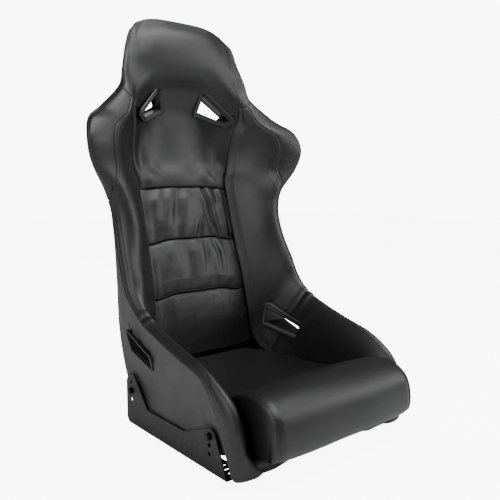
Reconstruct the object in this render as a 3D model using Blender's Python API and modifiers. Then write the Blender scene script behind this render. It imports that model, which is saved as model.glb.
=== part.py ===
"""Fixed-back racing seat: moulded shell, upholstered pads, harness bezels and side mounts.

Metres, +Z up. The occupant faces -Y and sits at x = 0. The floor plane is z = 0, at the
undersides of the two side brackets.
"""

import math

import bmesh
import bpy
from mathutils import Vector

MM = 0.001

# Driving dimensions, in millimetres
SHELL_WALL = 4.0            # laminate thickness
COVER = 2.4                 # leathercloth with its scrim foam
SEAM_GAP = 0.4              # air between neighbouring pieces
COVER_OVER_SHELL = 6.4      # from the skin's face to the middle of the shell wall at its edge
SHELL_TUCK = 0.5            # how far the shell reaches past that edge, in skin curves
BRACKET_X = 223.0           # middle of each bracket plate
BRACKET_PLATE = 3.0
BOLT_PITCH_Y = 292.5        # front bolt to rear bolt
REAR_BOLT = (146.0, 76.0)   # (y, z) of the rear bolt
FRONT_BOLT = (REAR_BOLT[0] - BOLT_PITCH_Y, 68.0)
BOLT_RADIUS = 4.0
HOLE_RADIUS = 4.6
ORIGIN_Y = -14.9              # shift of the whole seat along y, so that the box is centred

# The skin and the shell are lofted through these stations, front lip first and head top last.
# Skin curves, out from the middle: centre (y, z), quarter, valley, flank, crest, rim, edge.
# Shell curves: centre (y, z), corner, flank. All in millimetres, for the side at +X.
STATIONS = [
    # front lip of the pan, and the bottom of the thigh bolsters' front ends
    dict(centre=(-236, 26), quarter=(95, -236, 24), valley=(190, -206, 16),
         flank=(199, -228, 14), crest=(216, -240, 13), rim=(233, -236, 17),
         edge=(237, -226, 22), base=(-232, 22), corner=(178, -202, 22), side=(211, -194, 26)),
    dict(centre=(-230, 46), quarter=(95, -230, 46), valley=(190, -200, 56),
         flank=(200, -228, 57), crest=(218, -245, 58), rim=(235, -236, 58),
         edge=(238, -212, 56), base=(-226, 42), corner=(178, -198, 38), side=(212, -188, 46)),
    dict(centre=(-200, 54), quarter=(95, -200, 54), valley=(190, -186, 90),
         flank=(201, -212, 104), crest=(222, -240, 112), rim=(237, -228, 110),
         edge=(239, -192, 102), base=(-196, 50), corner=(178, -186, 44), side=(212, -172, 60)),
    dict(centre=(-160, 54), quarter=(95, -160, 54), valley=(190, -158, 92),
         flank=(202, -178, 134), crest=(223, -216, 156), rim=(238, -198, 152),
         edge=(240, -168, 142), base=(-156, 50), corner=(178, -150, 44), side=(213, -150, 80)),
    dict(centre=(-100, 52), quarter=(95, -100, 52), valley=(190, -108, 84),
         flank=(202, -122, 148), crest=(222, -152, 193), rim=(238, -142, 189),
         edge=(241, -134, 178), base=(-96, 50), corner=(178, -98, 44), side=(213, -100, 92)),
    dict(centre=(-30, 49), quarter=(95, -30, 49), valley=(189, -40, 80),
         flank=(199, -50, 148), crest=(219, -84, 212), rim=(238, -78, 208),
         edge=(243, -70, 198), base=(-26, 50), corner=(178, -34, 44), side=(213, -36, 96)),
    dict(centre=(50, 47), quarter=(94, 50, 47), valley=(186, 40, 78),
         flank=(194, 40, 152), crest=(219, -8, 235), rim=(239, -4, 232),
         edge=(245, 4, 222), base=(54, 49), corner=(178, 46, 43), side=(213, 34, 100)),
    # hip, where the thigh and back bolsters meet
    dict(centre=(140, 58), quarter=(88, 140, 60), valley=(166, 124, 88),
         flank=(190, 100, 168), crest=(220, 48, 258), rim=(239, 54, 257),
         edge=(247, 64, 248), base=(160, 50), corner=(182, 150, 46), side=(213, 110, 106)),
    dict(centre=(174, 114), quarter=(76, 174, 114), valley=(147, 168, 128),
         flank=(186, 124, 216), crest=(215, 84, 293), rim=(240, 96, 296),
         edge=(251, 112, 293), base=(222, 92), corner=(186, 202, 84), side=(219, 160, 152)),
    dict(centre=(184, 210), quarter=(70, 184, 210), valley=(137, 180, 206),
         flank=(178, 138, 278), crest=(211, 106, 340), rim=(238, 120, 342),
         edge=(250, 138, 340), base=(240, 190), corner=(188, 222, 180), side=(226, 184, 244)),
    dict(centre=(205, 310), quarter=(68, 206, 310), valley=(131, 200, 304),
         flank=(169, 158, 350), crest=(206, 132, 396), rim=(231, 146, 398),
         edge=(244, 166, 398), base=(246, 300), corner=(182, 234, 292), side=(222, 204, 336)),
    dict(centre=(236, 410), quarter=(66, 237, 410), valley=(127, 230, 402),
         flank=(164, 178, 430), crest=(202, 148, 458), rim=(229, 163, 460),
         edge=(242, 187, 462), base=(268, 400), corner=(172, 262, 396), side=(217, 224, 424)),
    dict(centre=(270, 530), quarter=(66, 270, 529), valley=(127, 264, 524),
         flank=(166, 203, 518), crest=(214, 159, 512), rim=(245, 168, 512),
         edge=(256, 190, 514), base=(298, 530), corner=(166, 290, 520), side=(222, 236, 512)),
    # wings
    dict(centre=(280, 574), quarter=(70, 280, 572), valley=(137, 269, 568),
         flank=(178, 216, 568), crest=(231, 170, 568), rim=(286, 159, 570),
         edge=(291, 174, 572), base=(306, 562), corner=(160, 298, 562), side=(240, 240, 566)),
    dict(centre=(286, 622), quarter=(72, 286, 620), valley=(142, 265, 614),
         flank=(186, 213, 616), crest=(239, 165, 618), rim=(298, 151, 620),
         edge=(304, 167, 622), base=(314, 622), corner=(160, 302, 620), side=(246, 240, 622)),
    dict(centre=(289, 676), quarter=(76, 285, 668), valley=(145, 251, 662),
         flank=(184, 209, 660), crest=(230, 173, 658), rim=(284, 167, 665),
         edge=(292, 183, 671), base=(318, 680), corner=(150, 300, 672), side=(234, 242, 672)),
    dict(centre=(287, 718), quarter=(80, 278, 706), valley=(152, 238, 692),
         flank=(166, 222, 690), crest=(190, 197, 688), rim=(238, 196, 696),
         edge=(247, 212, 704), base=(320, 725), corner=(128, 304, 716), side=(200, 256, 712)),
    # neck seam
    dict(centre=(272, 760), quarter=(78, 268, 750), valley=(150, 232, 728),
         flank=(158, 224, 728), crest=(170, 216, 729), rim=(186, 222, 744),
         edge=(192, 238, 752), base=(320, 768), corner=(105, 306, 764), side=(165, 268, 756)),
    dict(centre=(244, 800), quarter=(76, 244, 798), valley=(128, 242, 786),
         flank=(146, 240, 782), crest=(161, 237, 780), rim=(174, 242, 785),
         edge=(180, 256, 791), base=(314, 806), corner=(100, 304, 804), side=(150, 280, 796)),
    dict(centre=(238, 844), quarter=(74, 240, 842), valley=(120, 245, 836),
         flank=(136, 248, 834), crest=(151, 251, 836), rim=(160, 259, 838),
         edge=(164, 270, 842), base=(308, 846), corner=(96, 302, 846), side=(136, 290, 840)),
    dict(centre=(247, 890), quarter=(72, 249, 887), valley=(112, 255, 880),
         flank=(126, 259, 878), crest=(138, 264, 878), rim=(147, 272, 880),
         edge=(149, 282, 882), base=(302, 890), corner=(90, 300, 887), side=(124, 297, 880)),
    dict(centre=(270, 924), quarter=(66, 269, 922), valley=(100, 271, 915),
         flank=(112, 273, 911), crest=(121, 276, 908), rim=(129, 281, 906),
         edge=(131, 288, 906), base=(296, 924), corner=(82, 297, 919), side=(110, 299, 908)),
]
SKIN_CURVES = ("centre", "quarter", "valley", "flank", "crest", "rim", "edge")
VALLEY, CREST, RIM, EDGE = 2, 4, 5, 6
LIP, HIP, WING_LOW, NECK, TOP = 0, 7, 12, 17, 21

BACK_CUSHION_LOW, BACK_CUSHION_TOP = 8, 12          # stations at its ends
BACK_SEAMS = (9.57, 10.87)                          # stations of the two sewn seams across it
BACK_PUFF = (1.5, 7.0, 7.0)                         # how far each section stands proud
BACK_CUSHION_REACH = 1.95                           # half width, on the skin's curves
STATION_SNAP = 0.13                                 # rows this near a station move onto it
PAD_GAP = 2.8                                       # foam to cover
VALLEY_RELIEF = 5.0                                 # extra foam depth per skin curve there
CREST_RELIEF = 4.0                                  # and past the crest
GLUE_GAP = 4.0                                      # foam to shell
BACK_STRIP_ROOM = 4.5                               # back cushion to shell, for its strips

# Seat cushion: side profile (y, z), from under the front roll over the top to the rear edge
CUSHION_PROFILE = [
    (-280, 61), (-294, 67), (-299, 83), (-297, 106), (-288, 130), (-270, 148), (-245, 158),
    (-215, 160), (-185, 152), (-150, 136), (-110, 119), (-60, 106), (0, 100), (60, 100),
    (120, 103), (164, 107),
]
CUSHION_HALF_WIDTH = 186.0
CUSHION_REAR_HALF_WIDTH = 128.0
CUSHION_TAPER_START = 0.0
CUSHION_TAPER_POWER = 2.2
CUSHION_BASE = 59.0         # underside of the foam

# Side mounts: outlines (y, z, corner radius) of each plate, in millimetres
BRACKET_OUTLINE = [
    (-199, 0, 0), (168, 0, 14), (168, 96, 12), (156, 114, 9), (136, 114, 9), (79, 50, 4),
    (-61, 50, 4), (-148, 84, 6), (-162, 80, 8),
]
FLANGE_WIDTH = 46.0
FLANGE_FRONT, FLANGE_REAR = -199.0, 150.0
FLANGE_SLOT_Y = (-178.0, -162.0, -146.0, 100.0, 116.0, 132.0)
FLANGE_SLOT_X = (184.0, 206.0)
REAR_HOLE_HEIGHTS = (94.0, REAR_BOLT[1], 56.0)
FRONT_HOLE_HEIGHTS = (FRONT_BOLT[1], 51.5, 34.5)
WASHER_THICK = 1.6
FIT_GAP = 0.3
BOLT_HEAD = 5.5
INSERT_X = (202.0, 215.5)   # ends of the threaded inserts
INSERT_RADIUS = 7.5
STRIP = 1.2                 # hook strip, and loop strip
SEAT_STRIP_Y = (-150.0, -100.0)
TAG_LOW, TAG_HIGH = (124.0, 232.0, 462.0), (125.0, 244.0, 492.0)

# Harness openings
SHOULDER_FRONT = [(63, 266, 767), (45, 286, 706), (116, 265, 680), (140, 250, 698)]
SHOULDER_TUNNEL = [(9, 56, 16), (9, 41, 16), (8, 46, 14), (8, 54, 15)]   # to the rear corners
SHOULDER_SPLIT = 23.0
SHOULDER_REAR_DEPTH = 15.0
LAP_INNER = [(177, 139, 226), (166, 141, 168), (193, 50, 138), (199, 42, 178)]
LAP_TUNNEL = [(56, 0, 0), (58, 0, 0), (31, 0, 0), (32, 0, 0)]
LAP_SPLIT = 18.0
LAP_OUTER_DEPTH = 12.0
BEZEL_CORNER = 11.0         # radius of a bezel's outer corners
BEZEL_STEPS = 2             # chords that each of those corners is made of
BEZEL_FACE = 10.0           # width of a bezel's face
BEZEL_WALL = 2.0            # wall of its tunnel
BEZEL_LIP = 3.0             # how far its face stands proud

COLOURS = {
    "leathercloth": (0.020, 0.020, 0.021, 0.42, 0.0),
    "shell": (0.060, 0.060, 0.062, 0.55, 0.0),
    "foam": (0.30, 0.29, 0.26, 0.95, 0.0),
    "steel": (0.018, 0.018, 0.019, 0.50, 0.0),
    "bezel": (0.035, 0.035, 0.036, 0.45, 0.0),
    "fastener": (0.05, 0.05, 0.05, 0.35, 0.9),
    "strip": (0.015, 0.015, 0.015, 0.95, 0.0),
}


def clear_scene():
    for item in list(bpy.data.objects):
        bpy.data.objects.remove(item, do_unlink=True)


def new_collection(name):
    collection = bpy.data.collections.new(name)
    bpy.context.scene.collection.children.link(collection)
    return collection


def make_material(name):
    red, green, blue, roughness, metallic = COLOURS[name]
    material = bpy.data.materials.new(name)
    material.use_nodes = True
    shader = material.node_tree.nodes["Principled BSDF"]
    shader.inputs["Base Color"].default_value = (red, green, blue, 1.0)
    shader.inputs["Roughness"].default_value = roughness
    shader.inputs["Metallic"].default_value = metallic
    return material


clear_scene()
SEAT = new_collection("racing_seat")
CUTTERS = new_collection("cutters")
MATERIALS = {name: make_material(name) for name in COLOURS}


def add_object(name, bm, material, collection=SEAT):
    mesh = bpy.data.meshes.new(name)
    bm.to_mesh(mesh)
    bm.free()
    mesh.shade_smooth()
    mesh.set_sharp_from_angle(angle=math.radians(40))
    mesh.materials.append(MATERIALS[material])
    item = bpy.data.objects.new(name, mesh)
    collection.objects.link(item)
    return item


# ---------------------------------------------------------------- lofted surfaces

def curve_point(points, t):
    """Catmull-Rom spline through the points, t counted in points."""
    last = len(points) - 1
    i = min(max(int(math.floor(t)), 0), last - 1)
    f = t - i
    p1 = points[i]
    p2 = points[i + 1]
    p0 = points[i - 1] if i > 0 else p1 * 2 - p2
    p3 = points[i + 2] if i + 2 <= last else p2 * 2 - p1
    a = (p2 - p0) * 0.5
    b = p0 - p1 * 2.5 + p2 * 2 - p3 * 0.5
    c = (p3 - p0) * 0.5 + (p1 - p2) * 1.5
    return p1 + a * f + b * f * f + c * f * f * f


def place(entry):
    if len(entry) == 2:
        entry = (0, entry[0], entry[1])
    return Vector(entry)


SKIN = [[place(station[name]) for station in STATIONS] for name in SKIN_CURVES]


def across(curves, u, v):
    """Point of a surface: each curve at v, then a spline through those points at u."""
    row = [curve_point(curve, v) for curve in curves]
    mirror = Vector((-row[1].x, row[1].y, row[1].z))
    return curve_point([mirror] + row, u + 1)


def facing(surface, u, v):
    """Unit normal, towards the occupant."""
    step = 0.02
    along_u = surface(u + step, v) - surface(u - step, v)
    along_v = surface(u, v + step) - surface(u, v - step)
    return along_u.cross(along_v).normalized()


def skin(u, v):
    return across(SKIN, u, v)


def skin_inset(u, v, depth):
    return skin(u, v) - facing(skin, u, v) * depth


def shell_curves():
    """The shell's own curves, and its free edge, tucked under the skin's outer edge."""
    base = [place(station["base"]) for station in STATIONS]
    corner = [place(station["corner"]) for station in STATIONS]
    side = [place(station["side"]) for station in STATIONS]
    free_edge = [skin_inset(EDGE - SHELL_TUCK, k, COVER_OVER_SHELL)
                 for k in range(len(STATIONS))]
    return [base, corner, side, free_edge]


SHELL = shell_curves()
SHELL_RIM = 3


def shell(u, v):
    return across(SHELL, u, v)


def shell_inset(u, v, depth):
    """A point beyond the shell's middle, on its inner side for a positive depth."""
    return shell(u, v) + facing(shell, u, v) * depth


def signed(surface, u, v, depth):
    """A point of a surface that carries on past x = 0 to the other side."""
    point = surface(abs(u), v, depth)
    if u < 0:
        point = Vector((-point.x, point.y, point.z))
    return point


def faceted(surface, u, v, depth):
    """A point on the flat facets that join a surface's whole stations."""
    low = math.floor(v)
    near = signed(surface, u, low, depth)
    if v == low:
        return near
    return near.lerp(signed(surface, u, low + 1, depth), v - low)


def grid(columns, rows):
    bm = bmesh.new()
    bmesh.ops.create_grid(bm, x_segments=columns, y_segments=rows, size=1.0)
    bmesh.ops.triangulate(bm, faces=bm.faces, quad_method="FIXED")
    return bm


def spread(bm, u_range, v_range, snap):
    """Grid vertices with their (u, v) on the surface.

    With snap, inner rows near a station and columns near half a curve move onto it, so that
    neighbouring pieces have matching facets.
    """
    for vertex in list(bm.verts):
        across_part = (vertex.co.x + 1) / 2
        along_part = (vertex.co.y + 1) / 2
        u = u_range[0] + (u_range[1] - u_range[0]) * across_part
        v = v_range[0] + (v_range[1] - v_range[0]) * along_part
        if snap and 0 < along_part < 1 and abs(v - round(v)) < STATION_SNAP:
            v = round(v)
        if snap and 0 < across_part < 1 and abs(u - round(2 * u) / 2) < STATION_SNAP:
            u = round(2 * u) / 2
        yield vertex, u, v


def mirror_mesh(bm):
    for vertex in bm.verts:
        vertex.co.x = -vertex.co.x
    bmesh.ops.reverse_faces(bm, faces=bm.faces)


def to_metres(bm):
    for vertex in bm.verts:
        vertex.co = Vector((vertex.co.x, vertex.co.y + ORIGIN_Y, vertex.co.z)) * MM


def add_sheet(name, surface, u_range, v_range, cells, depth, thickness, material,
              keep=None, left=False, snap=True):
    """A thin cover: a patch of a surface, given thickness on its far side."""
    bm = grid(cells[0], cells[1])
    spots = {}
    for vertex, u, v in spread(bm, u_range, v_range, snap):
        spots[vertex] = (u, v)
    if keep:
        outside = []
        for face in bm.faces:
            u = sum(spots[vertex][0] for vertex in face.verts) / len(face.verts)
            v = sum(spots[vertex][1] for vertex in face.verts) / len(face.verts)
            if not keep(u, v):
                outside.append(face)
        bmesh.ops.delete(bm, geom=outside, context="FACES")
    for vertex in bm.verts:
        u, v = spots[vertex]
        vertex.co = signed(surface, u, v, depth)
    if left:
        mirror_mesh(bm)
    to_metres(bm)
    item = add_object(name, bm, material)
    solidify = item.modifiers.new("thickness", "SOLIDIFY")
    solidify.thickness = thickness * MM
    solidify.offset = -1.0
    return item


def add_pad(name, u_range, v_range, cells, top, bottom, material, left=False, snap=True):
    """A closed block of foam between two surfaces, given as functions of (u, v)."""
    bm = grid(cells[0], cells[1])
    spots = {}
    for vertex, u, v in spread(bm, u_range, v_range, snap):
        spots[vertex] = (u, v)
    top_verts = list(bm.verts)
    faces = list(bm.faces)
    made = bmesh.ops.extrude_face_region(bm, geom=faces, use_keep_orig=True)
    moved = [part for part in made["geom"] if isinstance(part, bmesh.types.BMVert)]
    lower = {}
    for vertex in moved:
        lower[vertex] = min(top_verts, key=lambda other: (other.co - vertex.co).length_squared)
    for vertex, source in lower.items():
        u, v = spots[source]
        vertex.co = bottom(u, v)
    for vertex in top_verts:
        u, v = spots[vertex]
        vertex.co = top(u, v)
    bmesh.ops.recalc_face_normals(bm, faces=bm.faces)
    if bm.calc_volume(signed=True) < 0:
        bmesh.ops.reverse_faces(bm, faces=bm.faces)
    if left:
        mirror_mesh(bm)
    to_metres(bm)
    return add_object(name, bm, material)


def cut(item, cutter):
    modifier = item.modifiers.new("cut_" + cutter.name, "BOOLEAN")
    modifier.operation = "DIFFERENCE"
    modifier.solver = "EXACT"
    modifier.object = cutter


def hide_cutter(item):
    item.hide_render = True
    item.display_type = "WIRE"


# ---------------------------------------------------------------- shell and pads

SIDES = (("left", True), ("right", False))
# Where on the shell's curves the underside of the foam at each skin curve lies
SHARE = ((0, 0), (1.98, 1.0), (2, 1.5), (2.5, 2.0), (4.5, 2.85))
FOAM_REACH = 4.5
HEAD_SHARE = 0.64                                   # the same, for the head pad


def shell_share(u):
    for (u0, share0), (u1, share1) in zip(SHARE, SHARE[1:]):
        if u <= u1:
            break
    return share0 + (share1 - share0) * (u - u0) / (u1 - u0)


def foam_top(u, v):
    deeper = CREST_RELIEF * max(abs(u) - CREST, 0.0)
    return faceted(skin_inset, u, v, COVER + PAD_GAP + deeper)


def bolster_top(u, v):
    """As foam_top, but also falling away towards the valley seam, where the cover turns."""
    deeper = VALLEY_RELIEF * max(VALLEY + 0.5 - u, 0.0) + CREST_RELIEF * max(u - CREST, 0.0)
    return faceted(skin_inset, u, v, COVER + PAD_GAP + deeper)


def foam_bottom(u, v):
    share = math.copysign(shell_share(abs(u)), u)
    return faceted(shell_inset, share, v, SHELL_WALL / 2 + GLUE_GAP)


def build_shell():
    return add_sheet("shell", shell_inset, (-SHELL_RIM, SHELL_RIM), (LIP, TOP), (12, TOP),
                     SHELL_WALL / 2, SHELL_WALL, "shell")


def build_bolsters():
    end_gap = 0.01
    foam_gap = 0.06
    side_gap = 0.05
    made = []
    for side, left in SIDES:
        for name, start, end in (
            ("thigh_bolster", LIP, HIP),
            ("back_bolster", HIP, WING_LOW),
            ("wing", WING_LOW, NECK),
        ):
            rows = end - start
            reach = (start + end_gap, end - (0.04 if end == NECK else end_gap))
            foam_reach = (start + foam_gap, end - foam_gap)
            made.append(add_pad(side + "_" + name + "_foam", (VALLEY + 0.15, FOAM_REACH),
                                foam_reach, (5, rows), bolster_top, foam_bottom, "foam", left))
            if name == "wing":
                made.append(add_sheet(side + "_wing_inner_cover", skin_inset,
                                      (VALLEY + side_gap, CREST - side_gap), reach, (4, rows),
                                      0.0, COVER, "leathercloth", left=left))
                made.append(add_sheet(side + "_wing_outer_cover", skin_inset,
                                      (CREST + side_gap, EDGE), reach, (4, rows),
                                      0.0, COVER, "leathercloth", left=left))
            else:
                made.append(add_sheet(side + "_" + name + "_cover", skin_inset,
                                      (VALLEY + side_gap, EDGE), reach, (8, rows),
                                      0.0, COVER, "leathercloth", left=left))
    return made


def build_head():
    end_gap = 0.12

    def in_cover(u, v):
        return v > NECK or abs(u) < VALLEY

    def head_bottom(u, v):
        return faceted(shell_inset, u * HEAD_SHARE, v, SHELL_WALL / 2 + GLUE_GAP)

    cover = add_sheet("head_cover", skin_inset, (-EDGE, EDGE), (WING_LOW, TOP), (24, 9),
                      0.0, COVER, "leathercloth", keep=in_cover)
    head = add_pad("head_foam", (-FOAM_REACH, FOAM_REACH), (NECK + end_gap, TOP - 0.05),
                   (18, 4), foam_top, head_bottom, "foam")
    upper = add_pad("upper_back_foam", (-VALLEY + 0.02, VALLEY - 0.02),
                    (WING_LOW + 0.02, NECK - end_gap), (8, 5), foam_top, foam_bottom, "foam")
    return [cover, head, upper]


# ---------------------------------------------------------------- lift-out cushions

def back_section(v):
    """The section of the back cushion at v, and how far through it v is."""
    limits = (BACK_CUSHION_LOW,) + BACK_SEAMS + (BACK_CUSHION_TOP,)
    for section, (low, high) in enumerate(zip(limits, limits[1:])):
        if v <= high:
            break
    return section, (v - low) / (high - low)


def back_face(u, v, depth):
    section, share = back_section(v)
    share = min(max(share, 0.0), 1.0)
    puff = BACK_PUFF[section] * math.sqrt(math.sin(math.pi * share))
    puff *= 1 - (abs(u) / VALLEY) ** 6
    return skin_inset(u, v, depth - puff)


def build_back_cushion():
    reach = BACK_CUSHION_REACH
    limits = (BACK_CUSHION_LOW + 0.03,) + BACK_SEAMS + (BACK_CUSHION_TOP - 0.03,)
    seam = 0.006
    for name, low, high in zip(("lower", "middle", "upper"), limits, limits[1:]):
        add_sheet("back_cushion_cover_" + name, back_face, (-reach, reach),
                  (low + seam, high - seam), (8, 6), 0.0, COVER, "leathercloth", snap=False)

    def top(u, v):
        return signed(back_face, u, v, COVER + PAD_GAP + 0.6)

    def bottom(u, v):
        return faceted(shell_inset, 0.35 * u, v, SHELL_WALL / 2 + BACK_STRIP_ROOM)

    add_pad("back_cushion_foam", (-reach + 0.02, reach - 0.02), (limits[0], limits[-1]),
            (8, 18), top, bottom, "foam", snap=False)


def cushion_half_width(y):
    rear = CUSHION_PROFILE[-1][0]
    share = max(y - CUSHION_TAPER_START, 0.0) / (rear - CUSHION_TAPER_START)
    narrowing = CUSHION_HALF_WIDTH - CUSHION_REAR_HALF_WIDTH
    return CUSHION_HALF_WIDTH - narrowing * share ** CUSHION_TAPER_POWER


CUSHION_CURVE = [Vector((0, y, z)) for y, z in CUSHION_PROFILE]
CUSHION_END = len(CUSHION_PROFILE) - 1


def cushion_face(u, v, depth):
    """The seat cushion's top and front roll: u is -1 to 1 across, v runs along the profile."""
    point = curve_point(CUSHION_CURVE, v)
    ahead = curve_point(CUSHION_CURVE, v + 0.05) - curve_point(CUSHION_CURVE, v - 0.05)
    ahead.normalize()
    point = point - Vector((0, -ahead.z, ahead.y)) * depth
    return Vector((abs(u) * (cushion_half_width(point.y) - max(depth, 0.0)), point.y, point.z))


def cushion_under(u, v, depth):
    front = CUSHION_PROFILE[0][0] + 14
    rear = CUSHION_PROFILE[-1][0] - 4
    y = front + (rear - front) * v / CUSHION_END
    half = cushion_half_width(y) - 3 * COVER
    return Vector((abs(u) * half, y, CUSHION_BASE + depth))


def build_seat_cushion():
    add_sheet("seat_cushion_cover", cushion_face, (-1, 1), (0.1, CUSHION_END), (6, 15),
              0.0, COVER, "leathercloth")

    def top(u, v):
        point = signed(cushion_face, u, v, COVER + PAD_GAP)
        point.x *= 0.99
        return point

    def bottom(u, v):
        return signed(cushion_under, u, v, 0.0)

    add_pad("seat_cushion_foam", (-1, 1), (0.4, CUSHION_END), (6, 15), top, bottom, "foam")

    def side(w, v, depth):
        upper = cushion_face(1, v, COVER + 4 * SEAM_GAP)
        lower = cushion_under(1, v, 1.0)
        point = lower.lerp(upper, w)
        point.x = cushion_half_width(point.y) - depth
        return point

    for name, left in SIDES:
        add_sheet(name + "_seat_cushion_side", side, (1, 0.02), (0.6, CUSHION_END - 0.1),
                  (1, 15), 0.0, 1.6, "leathercloth", left=left)

    def base(u, v, depth):
        return cushion_under(u, v, -1.0 + depth)

    add_sheet("seat_cushion_base_cloth", base, (-1, 1), (0.2, CUSHION_END), (4, 8),
              0.0, 1.2, "strip")


# ---------------------------------------------------------------- bezels of the harness openings

def rounded_outline(corners, radius, steps):
    """The corners of a closed outline, each replaced with an arc of points."""
    points = []
    count = len(corners)
    for k, corner in enumerate(corners):
        before = (corners[k - 1] - corner).normalized()
        after = (corners[(k + 1) % count] - corner).normalized()
        half = before.angle(after) / 2
        reach = radius / math.tan(half)
        start = corner + before * reach
        end = corner + after * reach
        centre = corner + (before + after).normalized() * (radius / math.sin(half))
        for step in range(steps + 1):
            chord = start.lerp(end, step / steps) - centre
            points.append(centre + chord.normalized() * radius)
    return points


def inset_outline(points, depth):
    """The outline moved towards its inside."""
    moved = []
    count = len(points)
    centre = sum(points, Vector((0, 0, 0))) / count
    for k, point in enumerate(points):
        along = (points[(k + 1) % count] - points[k - 1]).normalized()
        normal = along.cross(PLANE_NORMAL)
        if normal.dot(centre - point) < 0:
            normal.negate()
        moved.append(point + normal.normalized() * depth)
    return moved


PLANE_NORMAL = Vector((0, 0, 1))


def plane_frame(corners):
    """Middle of four corners, and the two unit axes of their plane."""
    middle = sum(corners, Vector((0, 0, 0))) / len(corners)
    normal = (corners[0] - corners[2]).cross(corners[1] - corners[3]).normalized()
    first = corners[0] - middle
    first = (first - normal * first.dot(normal)).normalized()
    return middle, first, normal.cross(first)


def ring(name, corners, axis, profile, material, left):
    """A closed ring swept round four corners: the profile is (inset, height along axis) pairs."""
    middle, first, second = plane_frame(corners)
    flat = [Vector(((c - middle).dot(first), (c - middle).dot(second), 0)) for c in corners]
    outline = rounded_outline(flat, BEZEL_CORNER, BEZEL_STEPS)
    bm = bmesh.new()
    loops = []
    for inset, height in profile:
        loop = []
        for point in inset_outline(outline, inset):
            spot = middle + first * point.x + second * point.y + axis * height
            loop.append(bm.verts.new(spot))
        loops.append(loop)
    count = len(outline)
    for k, loop in enumerate(loops):
        ahead = loops[(k + 1) % len(loops)]
        for step in range(count):
            nearby = (step + 1) % count
            bm.faces.new((loop[step], loop[nearby], ahead[nearby], ahead[step]))
    bmesh.ops.recalc_face_normals(bm, faces=bm.faces)
    if left:
        mirror_mesh(bm)
    to_metres(bm)
    return add_object(name, bm, material)


def plug(name, corners, axis, inset, low, high, left):
    """A cutter that fills the outline from one height to another."""
    middle, first, second = plane_frame(corners)
    flat = [Vector(((c - middle).dot(first), (c - middle).dot(second), 0)) for c in corners]
    outline = inset_outline(rounded_outline(flat, BEZEL_CORNER, BEZEL_STEPS), inset)
    bm = bmesh.new()
    base = []
    for point in outline:
        base.append(bm.verts.new(middle + first * point.x + second * point.y + axis * low))
    face = bm.faces.new(base)
    top = bmesh.ops.extrude_face_region(bm, geom=[face], use_keep_orig=True)
    moved = [part for part in top["geom"] if isinstance(part, bmesh.types.BMVert)]
    bmesh.ops.translate(bm, verts=moved, vec=axis * (high - low))
    bmesh.ops.recalc_face_normals(bm, faces=bm.faces)
    if left:
        mirror_mesh(bm)
    to_metres(bm)
    item = add_object(name, bm, "bezel", CUTTERS)
    hide_cutter(item)
    return item


def bezel_profile(sill, depth):
    """Face and tunnel of a bezel, from its outer lip inwards: (inset, height) pairs."""
    wall = BEZEL_FACE - BEZEL_WALL
    return [(0.0, sill), (0.8, BEZEL_LIP - 0.8), (2.5, BEZEL_LIP), (BEZEL_FACE - 2, BEZEL_LIP),
            (BEZEL_FACE, BEZEL_LIP - 2), (BEZEL_FACE, -depth), (wall, -depth), (wall, sill)]


def build_bezels(pads):
    tunnel_hole = BEZEL_FACE - BEZEL_WALL - 0.6
    for side, left in SIDES:
        for place_name, front, tunnel, split, rear_depth in (
            ("shoulder", SHOULDER_FRONT, SHOULDER_TUNNEL, SHOULDER_SPLIT, SHOULDER_REAR_DEPTH),
            ("lap", LAP_INNER, LAP_TUNNEL, LAP_SPLIT, LAP_OUTER_DEPTH),
        ):
            corners = [Vector(corner) for corner in front]
            shifts = [Vector(shift) for shift in tunnel]
            back = [corner + shift for corner, shift in zip(corners, shifts)]
            axis = -sum(shifts, Vector((0, 0, 0))).normalized()
            name = side + "_" + place_name + "_bezel"
            ring(name + "_inner", corners, axis, bezel_profile(-1.0, split), "bezel", left)
            ring(name + "_outer", back, -axis, bezel_profile(0.6, rear_depth), "bezel", left)
            narrow = plug(name + "_hole", back, axis, tunnel_hole, -30, 40, left)
            wide = plug(name + "_recess", corners, axis, -0.6, -75, 30, left)
            for item in pads:
                other_side = "right_" if left else "left_"
                at_neck = item.name in ("head_cover", "upper_back_foam", "head_foam")
                at_hip = "bolster" in item.name
                if item.name == "shell":
                    cut(item, narrow)
                elif item.name.startswith(other_side):
                    continue
                elif at_neck if place_name == "shoulder" else at_hip:
                    cut(item, wide)


# ---------------------------------------------------------------- side mounts and fasteners

def prism(name, outline, low_x, high_x, material, collection=SEAT):
    """A plate with a (y, z) outline between two x values."""
    bm = bmesh.new()
    base = [bm.verts.new((low_x, y, z)) for y, z in outline]
    face = bm.faces.new(base)
    made = bmesh.ops.extrude_face_region(bm, geom=[face], use_keep_orig=True)
    moved = [part for part in made["geom"] if isinstance(part, bmesh.types.BMVert)]
    bmesh.ops.translate(bm, verts=moved, vec=Vector((high_x - low_x, 0, 0)))
    bmesh.ops.recalc_face_normals(bm, faces=bm.faces)
    to_metres(bm)
    return add_object(name, bm, material, collection)


def block(name, low, high, collection=CUTTERS):
    bm = bmesh.new()
    bmesh.ops.create_cube(bm, size=1.0)
    low = Vector(low)
    high = Vector(high)
    for vertex in bm.verts:
        share = vertex.co + Vector((0.5, 0.5, 0.5))
        span = high - low
        vertex.co = low + Vector((span.x * share.x, span.y * share.y, span.z * share.z))
    to_metres(bm)
    return add_object(name, bm, "steel", collection)


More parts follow.
